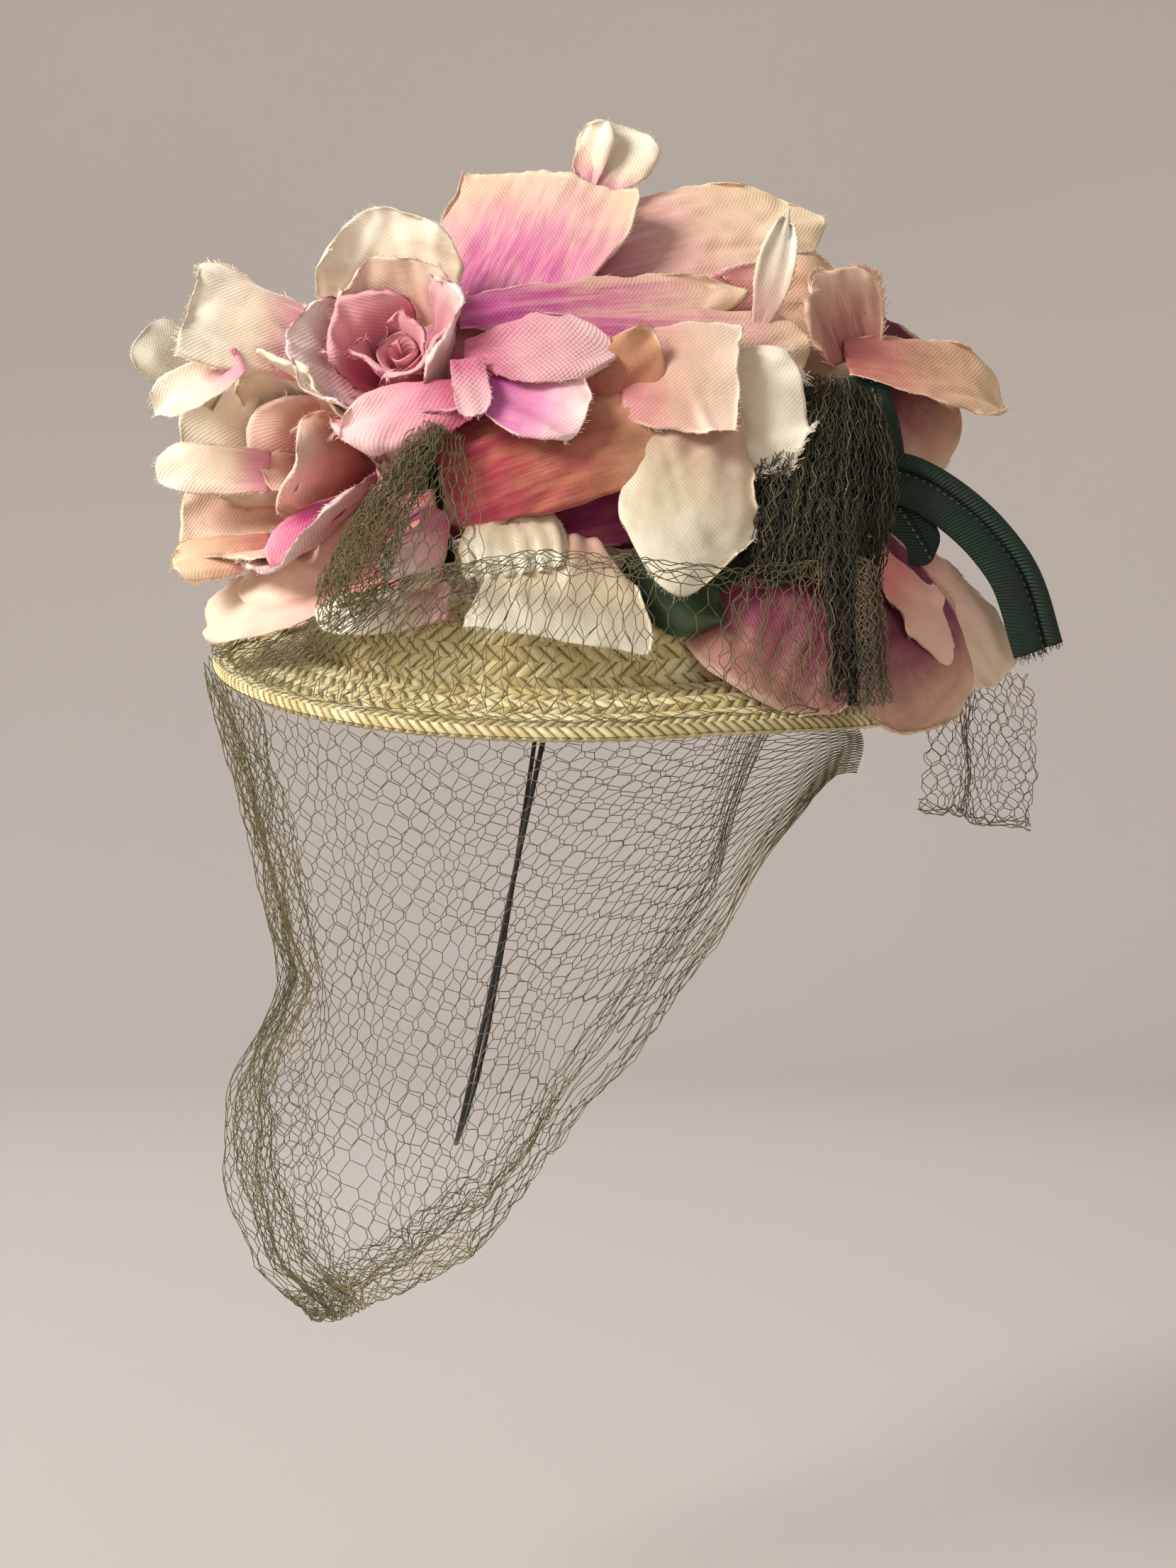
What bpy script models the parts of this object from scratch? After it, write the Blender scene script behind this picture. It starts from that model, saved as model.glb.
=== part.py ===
"""Oval straw tilt hat heaped with fabric flowers, with a net face veil, ribbon trim and a chin elastic.

The wearer looks along -Y, the wearer's left is +X and up is +Z. The origin is the middle of the crown's
inner top, where the hat sits on the head. Sizes are in millimetres, and metres only in the finished meshes.
"""

import math
from itertools import product
from typing import NamedTuple

import bmesh
import bpy
from mathutils import Matrix, Vector
from mathutils.bvhtree import BVHTree

MM = 0.001
HAT = "tilt_hat"

# Straw: an oval is a turned shape of the half width, drawn out front to back
OVAL_STRETCH = 11.0
CROWN_FOOT = 71.6
CROWN_INNER_HEIGHT = 28.4
STRAW_WALL = 1.6
SIDE_TILT = math.radians(16.0)
BACK_DROOP = 7.0
DROOP_START = 30.0
DROOP_SPAN = 60.0
OVAL_SEGMENTS = 32

# Fabric
PETAL_WALL = 1.0
PETAL_CELLS = 4
SMALL_CELLS = 3
SMALL_WIDTH = 24.0
TRIM_CLEARANCE = 0.45
LEAST_LEFT = 0.15
MERGE = 0.003
NUDGES = (
    (0.0, 0.0, 0.0), (0.03, 0.02, -0.01), (-0.04, 0.03, 0.05), (0.07, -0.06, 0.02), (-0.1, -0.08, -0.09),
    (0.12, 0.05, -0.11), (-0.06, 0.13, -0.07), (0.02, -0.14, 0.1), (-0.15, 0.02, 0.12), (0.1, 0.14, 0.14),
)
RIBBON_WALL = 1.2

# Net
NET_WALL = 1.0
NET_BAR = 1.1
VEIL_SWEEP = math.radians(138.0)
VEIL_COLUMNS = 14
VEIL_ROWS = 4
BRIM_NET_COLUMNS = 9
BRIM_NET_ROWS = 2
TAIL_COLUMNS = 4
TAIL_ROWS = 2
TAIL_FOLD = 3.0
TAIL_SWAY = 2.5
NET_CLEARANCE = 1.8
BORDER_PUSH = 2.0
NEAR_MIDDLE = 0.1

# Chin elastic
CORD_DIAMETER = 1.5
CORD_STEPS = 64


class Section(NamedTuple):
    """One corner of a turned profile: distance from the axis and height over the rim's plane."""

    radius: float
    height: float


class Hem(NamedTuple):
    """A place on the veil's lower edge, from 0 at the front to 1 at the side corner."""

    share: float
    side: float
    along: float
    up: float


class Pouch(NamedTuple):
    """How far the veil's front stands forward of a straight fall, by its share of the drop."""

    drop: float
    forward: float


class Tuck(NamedTuple):
    """Where the brim net is tucked under the flowers, by the angle round the rim from the front."""

    angle: float
    side: float
    along: float
    up: float


class Petal(NamedTuple):
    """A fabric petal: its spine runs from base to tip, and its inner face looks along face.

    cup bends it across and bow along, both towards the face. neck and end are the widths at its two ends as
    shares of width, widest is where it is widest, fall rounds the end's corners off, roll turns its border
    away from the face, wave ruffles the border, and twist turns the tip about the spine.
    """

    name: str
    cloth: str
    base: tuple
    tip: tuple
    face: tuple
    width: float
    cup: float = 30.0
    bow: float = 20.0
    neck: float = 0.4
    widest: float = 0.6
    end: float = 0.6
    fall: float = 0.14
    roll: float = 1.5
    wave: float = 1.5
    waves: float = 1.5
    twist: float = 0.0


class RosePetal(NamedTuple):
    """A petal of a rose by its place round the rose's axis, clockwise from the top as one looks into it."""

    name: str
    cloth: str
    turn: float
    radius: float
    length: float
    lean: float
    width: float
    cup: float
    bow: float = 25.0
    roll: float = 2.0


class Rose(NamedTuple):
    """A rose: the middle of its foot, where its stem stands, the way it looks, and its petals outwards."""

    foot: tuple
    root: tuple
    axis: tuple
    petals: tuple


CLOTHS = {
    "straw": ((0.70, 0.60, 0.33, 1.0), 0.55),
    "net": ((0.17, 0.155, 0.075, 1.0), 0.8),
    "elastic": ((0.012, 0.011, 0.01, 1.0), 0.7),
    "ribbon": ((0.008, 0.045, 0.022, 1.0), 0.75),
    "leaf": ((0.05, 0.075, 0.02, 1.0), 0.8),
    "cream": ((0.78, 0.68, 0.49, 1.0), 0.6),
    "blush": ((0.79, 0.50, 0.40, 1.0), 0.65),
    "pink": ((0.72, 0.34, 0.34, 1.0), 0.65),
    "streaked": ((0.62, 0.30, 0.33, 1.0), 0.6),
    "velvet": ((0.50, 0.15, 0.10, 1.0), 0.9),
    "maroon": ((0.25, 0.045, 0.075, 1.0), 0.75),
}

RIM_BRAID = (
    Section(99.4, -1.6),
    Section(98.2, 1.4),
    Section(95.6, 2.3),
    Section(94.5, 1.6),
    Section(94.5, -2.2),
    Section(97.2, -3.2),
)
BRIM = (
    Section(94.2, 1.4),
    Section(83.0, 3.9),
    Section(71.9, 5.6),
    Section(71.9, 4.0),
    Section(83.0, 2.3),
    Section(94.2, -0.2),
)
CROWN = (
    Section(CROWN_FOOT, 4.2),
    Section(69.8, 22.0),
    Section(65.0, 27.6),
    Section(52.0, 29.6),
    Section(0.0, CROWN_INNER_HEIGHT + STRAW_WALL),
    Section(0.0, CROWN_INNER_HEIGHT),
    Section(52.0, 28.0),
    Section(64.0, 26.1),
    Section(68.2, 21.5),
    Section(CROWN_FOOT - STRAW_WALL, 4.2),
)
# The room that the straw takes up, with its hollow filled, which the petals stay out of
STRAW_ROOM = (
    Section(0.0, 30.7),
    Section(52.2, 30.3),
    Section(65.4, 28.2),
    Section(70.5, 22.4),
    Section(72.4, 6.2),
    Section(83.0, 4.6),
    Section(95.0, 3.0),
    Section(98.9, 2.0),
    Section(100.1, -1.6),
    Section(97.5, -4.0),
    Section(0.0, -4.0),
)

# Where the face veil leaves the rim, and where the brim net ends over it
VEIL_TOP = Section(102.6, -2.0)
NET_EDGE = Section(99.8, 2.9)

HEM = (
    Hem(0.00, 0.0, -77.0, -234.0),
    Hem(0.12, 14.0, -72.0, -232.0),
    Hem(0.30, 36.0, -52.0, -221.0),
    Hem(0.45, 50.0, -28.0, -206.0),
    Hem(0.60, 58.0, -6.0, -177.0),
    Hem(0.75, 68.0, 27.0, -136.0),
    Hem(0.88, 72.0, 51.0, -102.0),
    Hem(1.00, 62.0, 80.0, -58.0),
)
POUCH = (
    Pouch(0.00, 0.0),
    Pouch(0.25, -5.0),
    Pouch(0.48, -7.0),
    Pouch(0.66, 15.0),
    Pouch(0.80, 19.5),
    Pouch(0.92, 14.0),
    Pouch(1.00, 0.0),
)
TUCKS = (
    Tuck(-24.0, 6.0, -88.0, -12.0),
    Tuck(0.0, 30.0, -82.0, -16.0),
    Tuck(30.0, 60.0, -60.0, -14.0),
    Tuck(55.0, 79.0, -36.0, -8.0),
    Tuck(78.0, 87.0, -8.0, -4.0),
    Tuck(98.0, 87.0, 18.0, -6.0),
    Tuck(117.0, 82.0, 46.0, -9.0),
    Tuck(134.0, 72.0, 70.0, -6.0),
)
CORD_ROUTE = (
    (57.5, -6.0, -36.5),
    (58.5, -6.0, -43.0),
    (63.0, -6.5, -52.0),
    (65.5, -8.5, -62.0),
    (63.0, -15.0, -92.0),
    (58.0, -22.0, -126.0),
    (51.0, -29.0, -157.0),
    (32.0, -33.0, -173.0),
    (0.0, -35.0, -179.0),
    (-32.0, -33.0, -173.0),
    (-53.0, -29.0, -157.0),
    (-62.0, -22.0, -118.0),
    (-70.0, -14.0, -66.0),
    (-73.0, -8.0, -22.0),
    (-72.2, -6.0, -8.0),
    (-70.6, -6.0, 0.0),
)

PINK_ROSE = Rose(
    foot=(26.0, -45.0, 47.0),
    root=(18.0, -36.0, -6.0),
    axis=(0.84, -0.22, 0.48),
    petals=(
        RosePetal("rose_tan", "blush", 350.0, 12.0, 36.0, 20.0, 42.0, 95.0),
        RosePetal("rose_right", "pink", 85.0, 13.0, 40.0, 12.0, 46.0, 110.0),
        RosePetal("rose_left", "pink", 250.0, 14.0, 38.0, 22.0, 54.0, 105.0),
        RosePetal("rose_low", "pink", 180.0, 17.0, 30.0, 30.0, 40.0, 80.0),
        RosePetal("rose_crest", "cream", 345.0, 19.0, 42.0, 34.0, 48.0, 80.0),
    ),
)
BLUSH_ROSE = Rose(
    foot=(16.0, -62.0, 25.0),
    root=(10.0, -55.0, -8.0),
    axis=(0.68, -0.72, 0.14),
    petals=(
        RosePetal("blush_inner", "pink", 116.0, 12.0, 42.0, 8.0, 40.0, 120.0),
        RosePetal("blush_canopy", "blush", 12.0, 15.0, 46.0, 12.0, 56.0, 100.0),
        RosePetal("blush_side", "cream", 285.0, 17.0, 48.0, 16.0, 44.0, 85.0),
        RosePetal("blush_cup", "blush", 218.0, 19.0, 48.0, 22.0, 56.0, 88.0),
        RosePetal("blush_low", "pink", 160.0, 19.0, 44.0, 26.0, 54.0, 80.0),
    ),
)
HEART_PETALS = (
    RosePetal("heart", "pink", 40.0, 4.0, 31.0, 3.0, 24.0, 140.0),
    RosePetal("heart", "pink", 220.0, 6.0, 32.0, 6.0, 28.0, 130.0),
)

# Front to back: where two would cross, the later one is cut back from the earlier one
PETALS = (
    Petal("pinch_strip", "pink", (66, -29, 52), (73, -26, 34), (1.0, 0.0, 0.1), 11, cup=15, bow=5,
          neck=0.9, end=0.7, roll=0.0, wave=0.5),
    Petal("canvas_petal", "pink", (60, -30, 55), (62, 15, 55), (0.9, 0.1, 0.45), 25, cup=30, bow=-12,
          neck=0.35, widest=0.5, end=0.25),
    Petal("magenta_cup", "pink", (64, -28, 45), (72, 6, 37), (0.85, -0.1, 0.5), 28, cup=45, bow=22,
          neck=0.45, end=0.7),
    Petal("lower_curl", "pink", (64, -27, 42), (65, -66, 31), (0.9, 0.0, 0.3), 22, cup=-40, bow=-15,
          neck=0.5, widest=0.5, end=0.55),
    Petal("velvet_petal", "velvet", (62, -36, 18), (60, 28, 40), (0.9, -0.1, 0.35), 46, cup=-55, bow=-24,
          neck=0.7, widest=0.55, end=0.75, fall=0.1),
    Petal("satin_large", "cream", (54, 38, 42), (75, 30, -15), (0.95, 0.2, 0.2), 42, cup=-25, bow=-10,
          neck=0.5, widest=0.5, end=0.3, wave=1.0),
    Petal("satin_upper", "blush", (48, 16, 50), (51, 51, 50), (0.97, 0.1, 0.1), 36, cup=15, bow=-8,
          neck=0.8, end=0.95, fall=0.03, roll=0.5),
    Petal("satin_mid", "cream", (42, 33, 40), (45, 69, 42), (0.95, 0.25, 0.1), 40, cup=20, bow=10,
          neck=0.7, end=0.65),
    Petal("streak_fold", "streaked", (40, -33, 69), (30, 54, 78), (0.92, 0.0, 0.35), 20, cup=25, bow=8,
          neck=0.6, widest=0.5, end=0.5),
    Petal("streak_low", "streaked", (41, -22, 57), (35, 73, 61), (0.95, 0.1, 0.25), 30, cup=-25, bow=-8,
          neck=0.5, end=0.6, fall=0.08),
    Petal("streak_crest", "streaked", (30, -36, 63), (4, 2, 120), (0.8, -0.35, 0.35), 66, cup=30, bow=20,
          neck=0.5, widest=0.75, end=0.95, fall=0.04),
    Petal("streak_long", "streaked", (22, -6, 82), (4, 78, 102), (0.85, 0.0, 0.5), 44, cup=-20, bow=-14,
          neck=0.6, widest=0.45, end=0.3, fall=0.1),
    Petal("streak_under", "blush", (20, 38, 62), (26, 86, 62), (0.95, 0.2, 0.1), 60, cup=15, bow=10,
          neck=0.7, end=0.7),
    Petal("crest_fluff", "cream", (7, 7, 117), (-4, 20, 135), (0.9, 0.0, 0.3), 26, cup=40, bow=10,
          neck=0.5, end=0.8, waves=3.0),
    Petal("right_curl", "maroon", (25, 84, 58), (34, 77, 84), (0.8, 0.5, 0.1), 34, cup=85, bow=20,
          neck=0.6, end=0.7),
    Petal("right_wing", "blush", (30, 82, 57), (10, 134, 48), (0.8, 0.2, 0.6), 30, cup=40, bow=-30,
          neck=0.5, widest=0.75, end=0.7),
    Petal("right_shard", "maroon", (24, 86, 71), (6, 116, 28), (0.9, 0.3, 0.1), 34, cup=20, bow=10),
    Petal("cream_wing", "cream", (34, -76, 60), (44, -112, 72), (0.85, -0.1, 0.5), 36, cup=-15, bow=-10,
          neck=0.7, widest=0.8, end=0.95, fall=0.02, roll=0.5),
    Petal("grey_tab", "cream", (26, -103, 49), (34, -128, 64), (0.95, 0.0, 0.3), 21, cup=15, bow=8,
          neck=0.8, end=0.85),
    Petal("white_fold", "cream", (47, -95, 54), (44, -122, 40), (0.9, -0.3, 0.3), 17, cup=70, bow=5,
          neck=0.6, end=0.7, roll=0.0),
    Petal("small_cream", "cream", (30, -89, 24), (35, -123, 26), (0.9, -0.2, 0.3), 17, cup=20, bow=8,
          neck=0.8, end=0.8),
    Petal("fringe_tab", "blush", (36, -88, 1), (38, -118, -3), (0.8, -0.2, 0.5), 16, cup=-25, bow=-10,
          neck=0.8, end=0.7),
    Petal("magenta_throat", "maroon", (50, -60, 12), (50, -88, -5), (0.85, -0.1, 0.5), 20, cup=110, bow=10,
          neck=0.5, end=0.6, roll=0.0),
    Petal("peach_skirt", "blush", (54, -44, -8), (26, -111, -29), (0.75, -0.3, 0.6), 30, cup=-20, bow=-16,
          neck=0.8, widest=0.5, end=0.7, fall=0.05),
    Petal("bud", "pink", (62, -38, 10), (70, -50, -14), (0.95, -0.2, 0.1), 22, cup=-120, bow=-30,
          neck=0.6, end=0.5),
    Petal("satin_gather", "cream", (62, -18, 12), (74, -14, -11), (0.95, 0.0, 0.3), 32, cup=-30, bow=-20,
          neck=0.8, end=0.9, wave=1.8, waves=6.0),
    Petal("satin_fold", "cream", (66, -10, -4), (75, -30, -27), (0.9, -0.1, 0.4), 30, cup=15, bow=8,
          neck=0.6, end=0.8),
    Petal("satin_skirt", "cream", (66, 8, 6), (79, 16, -30), (0.93, 0.1, 0.35), 44, cup=-15, bow=-10,
          neck=0.5, widest=0.85, end=1.0, fall=0.02, roll=0.3, wave=0.6),
    Petal("back_skirt", "maroon", (44, 72, -2), (68, 48, -42), (0.9, 0.1, 0.4), 44, cup=-25, bow=-14,
          neck=0.4, end=0.7),
    Petal("back_fall", "maroon", (40, 86, 2), (40, 108, -54), (0.9, 0.35, 0.1), 46, cup=40, bow=16,
          neck=0.4, end=0.7),
    Petal("back_shell", "blush", (41, 89, 4), (18, 134, -36), (0.8, 0.5, 0.35), 38, cup=-35, bow=-14,
          neck=0.4, end=0.6),
    Petal("far_crest", "streaked", (21, -8, 86), (-52, -16, 92), (-0.3, 0.0, 0.95), 56, cup=-20, bow=-20,
          neck=0.5, end=0.8),
    Petal("far_front", "pink", (-8, -40, 6), (-36, -68, 60), (-0.8, -0.4, 0.4), 58, cup=-30, bow=-24),
    Petal("far_side", "cream", (-16, -8, 4), (-48, -10, 66), (-0.9, 0.0, 0.4), 64, cup=-30, bow=-24),
    Petal("far_back", "streaked", (-12, 30, 4), (-42, 52, 58), (-0.8, 0.4, 0.4), 60, cup=-30, bow=-24),
    Petal("far_skirt", "maroon", (-20, 63, 1), (-42, 128, -20), (-0.3, 0.3, 0.9), 46, cup=-20, bow=-20),
)
NEAREST = 8
SHEAVES = (
    Petal("veil_gather_front", "net", (64, -33, 33), (57, -67, -14), (0.9, -0.3, 0.3), 22, cup=-50, bow=-12,
          neck=0.4, end=1.0, roll=0.0, wave=0.0),
    Petal("veil_gather_back", "net", (46, 72, 52), (66, 84, -44), (0.95, 0.3, 0.1), 34, cup=-50, bow=-14,
          neck=0.25, widest=0.55, end=0.5, roll=0.0, wave=0.0),
)
SHEAF_WALL = 3.0
BUD_LIFT = 12.0
BUD_RADIUS = 5.5
BUD_REACH = 13.0
STEM_RADIUS = 2.4
LEAVES = (
    Petal("leaf_low", "leaf", (56, 46, -2), (62, 40, -24), (0.9, 0.2, 0.3), 20, cup=-20, bow=-8),
    Petal("ribbon_knot", "ribbon", (32, 88, 25), (35.5, 106, -4), (0.95, 0.3, 0.1), 18, cup=-30, bow=-10,
          neck=0.9, end=0.8, roll=0.0, wave=0.0),
)
RIBBON_ROUTE = (
    (34.0, 86.0, 22.0),
    (33.0, 102.0, 20.0),
    (30.0, 120.0, 8.0),
    (27.0, 133.0, -8.0),
    (25.0, 140.0, -29.0),
)
RIBBON_WIDTH = 16.0
RIBBON_FACE = (0.97, 0.15, 0.2)
RIBBON_STATIONS = 8
RIBBON_CELLS = 4


def hat_place(side, along, height):
    """A place given in the level hat, with height over the rim's plane, moved to where the tilted hat has it."""
    droop = max(0.0, along - DROOP_START) / DROOP_SPAN
    lift = height - CROWN_INNER_HEIGHT - BACK_DROOP * droop ** 2
    return Vector((
        side * math.cos(SIDE_TILT) + lift * math.sin(SIDE_TILT),
        along,
        lift * math.cos(SIDE_TILT) - side * math.sin(SIDE_TILT),
    ))


def oval_place(angle, radius, height):
    """A place on the oval at an angle from the front towards the wearer's left."""
    return hat_place(radius * math.sin(angle), -(radius + OVAL_STRETCH) * math.cos(angle), height)


def ease(share):
    """A smooth step from 0 to 1."""
    share = min(1.0, max(0.0, share))
    return share * share * (3.0 - 2.0 * share)


def read_rows(rows, share):
    """The values of the table's rows at a share of its first column, joined by a smooth curve."""
    for low, high in zip(rows, rows[1:]):
        if share <= high[0]:
            part = ease((share - low[0]) / (high[0] - low[0]))
            linear = (share - low[0]) / (high[0] - low[0])
            part = 0.5 * (part + linear)
            return [a + (b - a) * part for a, b in zip(low[1:], high[1:])]
    return list(rows[-1][1:])


def petal_point(petal, across, along):
    """The place on a petal's middle surface, across from -1 to 1 and along from 0 at the base to 1."""
    base = Vector(petal.base)
    spine = Vector(petal.tip) - base
    length = spine.length
    spine.normalize()
    face = Vector(petal.face)
    face = (face - face.dot(spine) * spine).normalized()
    side = spine.cross(face)
    inner = max(-1.0, min(1.0, across))
    reach = along - petal.fall * inner ** 2 * min(1.0, max(0.0, along)) ** 3

    if along < petal.widest:
        share = petal.neck + (1.0 - petal.neck) * math.sin(0.5 * math.pi * max(0.0, along) / petal.widest)
    else:
        past = (along - petal.widest) / (1.0 - petal.widest)
        share = petal.end + (1.0 - petal.end) * math.sqrt(max(0.0, 1.0 - min(1.0, past) ** 2))
    half = 0.5 * petal.width * share

    turn = math.radians(petal.bow) * (reach - 0.5)
    ray = 0.5 * length / math.sin(0.5 * math.radians(petal.bow))
    place = base + spine * (ray * (math.sin(turn) + math.sin(0.5 * math.radians(petal.bow))))
    place -= face * (ray * (math.cos(turn) - math.cos(0.5 * math.radians(petal.bow))))
    out = face * math.cos(turn) - spine * math.sin(turn)
    onward = spine * math.cos(turn) + face * math.sin(turn)

    twist = Matrix.Rotation(math.radians(petal.twist) * (reach - 0.5), 3, onward)
    side = twist @ side
    out = twist @ out
    arc = math.radians(petal.cup)
    bend = half / (0.5 * arc)
    place += side * (bend * math.sin(0.5 * arc * across))
    rise = bend * (1.0 - math.cos(0.5 * arc * across))

    flank = ease((abs(inner) - 0.55) / 0.45) * ease(along / 0.4)
    border = max(ease((along - 0.6) / 0.4), flank)
    ripple = math.sin(math.pi * petal.waves * inner + 0.7 * (petal.base[0] + petal.tip[2]))
    rise += petal.wave * ripple * ease(along) * max(0.35, border) - petal.roll * border ** 2
    return place + out * rise


def rose_petal(rose, row):
    """The petal that a row of a rose's table stands for."""
    axis = Vector(rose.axis).normalized()
    top = (Vector((0.0, 0.0, 1.0)) - axis.z * axis).normalized()
    turn = math.radians(row.turn)
    outward = top * math.cos(turn) + top.cross(axis) * math.sin(turn)
    lean = math.radians(row.lean)
    base = Vector(rose.foot) + outward * (0.5 * row.radius) + axis * (0.1 * row.radius)
    tip = base + outward * (0.5 * row.radius) + (axis * math.cos(lean) + outward * math.sin(lean)) * row.length
    return Petal(row.name, row.cloth, tuple(base), tuple(tip), tuple(-outward), row.width, cup=row.cup,
                 bow=row.bow, neck=0.5, widest=0.6, end=0.65, fall=0.16, roll=row.roll)


def material(cloth):
    """The plain colour of a cloth, made once."""
    found = bpy.data.materials.get(cloth)
    if found:
        return found
    made = bpy.data.materials.new(cloth)
    made.use_nodes = True
    shader = made.node_tree.nodes["Principled BSDF"]
    shader.inputs["Base Color"].default_value, shader.inputs["Roughness"].default_value = CLOTHS[cloth]
    shader.inputs["Metallic"].default_value = 0.0
    return made


def new_object(name, work, folder, cloth):
    """An object that holds the bmesh, in millimetres until here."""
    bmesh.ops.scale(work, vec=(MM, MM, MM), verts=work.verts)
    mesh = bpy.data.meshes.new(name)
    work.to_mesh(mesh)
    work.free()
    made = bpy.data.objects.new(name, mesh)
    made.data.materials.append(material(cloth))
    folder.objects.link(made)
    return made


def settle(made):
    """Gives the object the mesh that its modifiers make, and clears them."""
    graph = bpy.context.evaluated_depsgraph_get()
    mesh = bpy.data.meshes.new_from_object(made.evaluated_get(graph))
    made.modifiers.clear()
    made.data = mesh


def thicken(made, wall):
    """Turns the object's open surface into a closed wall, half to each side."""
    shell = made.modifiers.new("wall", "SOLIDIFY")
    shell.thickness = wall * MM
    shell.offset = 0.0
    shell.use_even_offset = False
    settle(made)
    face_outwards(made)


def face_outwards(made):
    """Merges the doubles of a closed mesh and points its faces out."""
    work = bmesh.new()
    work.from_mesh(made.data)
    bmesh.ops.remove_doubles(work, verts=work.verts, dist=0.01 * MM)
    bmesh.ops.recalc_face_normals(work, faces=work.faces)
    if work.calc_volume(signed=True) < 0.0:
        bmesh.ops.reverse_faces(work, faces=work.faces)
    work.to_mesh(made.data)
    work.free()


def turned_oval(name, profile, folder, cloth="straw"):
    """A closed profile turned about the upright axis, drawn out to the oval, tilted and drooped."""
    work = bmesh.new()
    corners = [work.verts.new((row.radius, 0.0, row.height)) for row in profile]
    for start, end in zip(corners, corners[1:] + corners[:1]):
        if profile[corners.index(start)].radius > 0.0 or profile[corners.index(end)].radius > 0.0:
            work.edges.new((start, end))
    made = new_object(name, work, folder, cloth)
    screw = made.modifiers.new("turn", "SCREW")
    screw.steps = screw.render_steps = OVAL_SEGMENTS
    screw.use_merge_vertices = True
    screw.merge_threshold = 0.01 * MM
    settle(made)
    for vertex in made.data.vertices:
        radius = math.hypot(vertex.co.x, vertex.co.y) / MM
        angle = math.atan2(vertex.co.x, -vertex.co.y)
        stretch = OVAL_STRETCH * min(1.0, radius / CROWN_FOOT)
        along = -(radius + stretch) * math.cos(angle)
        vertex.co = hat_place(radius * math.sin(angle), along, vertex.co.z / MM) * MM
    face_outwards(made)
    return made


def surface_grid(surface, columns, rows):
    """A grid whose corners lie on a surface given as a function of two shares from 0 to 1."""
    work = bmesh.new()
    bmesh.ops.create_grid(work, x_segments=columns, y_segments=rows, size=1.0)
    for vertex in work.verts:
        vertex.co = surface(0.5 * (vertex.co.x + 1.0), 0.5 * (vertex.co.y + 1.0))
    return work


def split_faces(work):
    """Splits every face along the same corner, so that a piece and its cutter bend along the same lines."""
    bmesh.ops.triangulate(work, faces=work.faces, quad_method="FIXED")


def push_border(share, by):
    """Moves a share that lies on a grid's border outwards, and leaves one inside alone."""
    if share < 0.001:
        return share - by
    if share > 0.999:
        return share + by
    return share


def petal_object(petal, folder, wall=PETAL_WALL, margin=0.0, cells=0):
    """A petal as a thin closed wall; a margin in millimetres makes the cutter that clears room for it."""
    cells = cells or (SMALL_CELLS if petal.width < SMALL_WIDTH else PETAL_CELLS)
    length = (Vector(petal.tip) - Vector(petal.base)).length

    def surface(across, along):
        across = push_border(across, 2.0 * margin / petal.width)
        return petal_point(petal, 2.0 * across - 1.0, push_border(along, 1.5 * margin / length))

    work = surface_grid(surface, cells, cells)
    split_faces(work)
    made = new_object(petal.name, work, folder, petal.cloth)
    thicken(made, wall + 2.0 * margin)
    return made


def keep_largest(made, merge=MERGE):
    """Keeps only the largest of the bodies that a cut leaves, and merges corners nearer than merge millimetres."""
    work = bmesh.new()
    work.from_mesh(made.data)
    if merge:
        bmesh.ops.remove_doubles(work, verts=work.verts, dist=merge * MM)
        bmesh.ops.dissolve_degenerate(work, edges=work.edges, dist=merge * MM)
    left = set(work.verts)
    bodies = []
    while left:
        body = {left.pop()}
        front = list(body)
        while front:
            corner = front.pop()
            near = {edge.other_vert(corner) for edge in corner.link_edges} & left
            left -= near
            body |= near
            front.extend(near)
        bodies.append(body)
    if len(bodies) > 1:
        def surface_area(body):
            return sum(face.calc_area() for face in {f for vertex in body for f in vertex.link_faces})
        bodies.sort(key=surface_area)
        for body in bodies[:-1]:
            bmesh.ops.delete(work, geom=list(body), context="VERTS")
    work.to_mesh(made.data)
    work.free()


def tree_of(made):
    """A tree for asking which shapes meet."""
    work = bmesh.new()
    work.from_mesh(made.data)
    tree = BVHTree.FromBMesh(work)
    work.free()
    return tree


def volume_of(made):
    """The volume that the object's mesh encloses, or none where the mesh isn't closed."""
    work = bmesh.new()
    work.from_mesh(made.data)
    closed = all(len(edge.link_faces) == 2 for edge in work.edges)
    volume = work.calc_volume(signed=True) if closed else 0.0
    work.free()
    return volume


def cut_back(made, room, owner):
    """Cuts a room out of the object.

    A cut that loses nearly all of it, or leaves it in the way of the room's owner, is made again with the room
    a hair aside.
    """
    whole = made.data
    volume = volume_of(made)
    for merge, nudge in product((MERGE, 0.0), NUDGES):
        made.data = whole
        room.location = Vector(nudge) * MM
        cut = made.modifiers.new("trim", "BOOLEAN")
        cut.operation = "DIFFERENCE"
        cut.object = room
        settle(made)
        keep_largest(made, merge)
        if volume_of(made) > LEAST_LEFT * volume and not (owner and tree_of(made).overlap(owner)):
            break
    room.location = (0.0, 0.0, 0.0)


class Cutters:
    """The rooms that shapes made so far take up, from which later ones are cut back."""

    def __init__(self):
        self.rooms = []

    def add(self, cutter, owner=None):
        """Keeps a cutter out of the model and remembers it with the tree of the piece it clears room for."""
        cutter.name = cutter.name.split(".")[0] + "_room"
        cutter.hide_render = True
        cutter.display_type = "WIRE"
        self.rooms.append((cutter, tree_of(cutter), tree_of(owner) if owner else None))

    def trim(self, made):
        """Cuts the object back from every room that it reaches into."""
        for room, tree, owner in self.rooms:
            if tree_of(made).overlap(tree):
                cut_back(made, room, owner)


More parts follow.
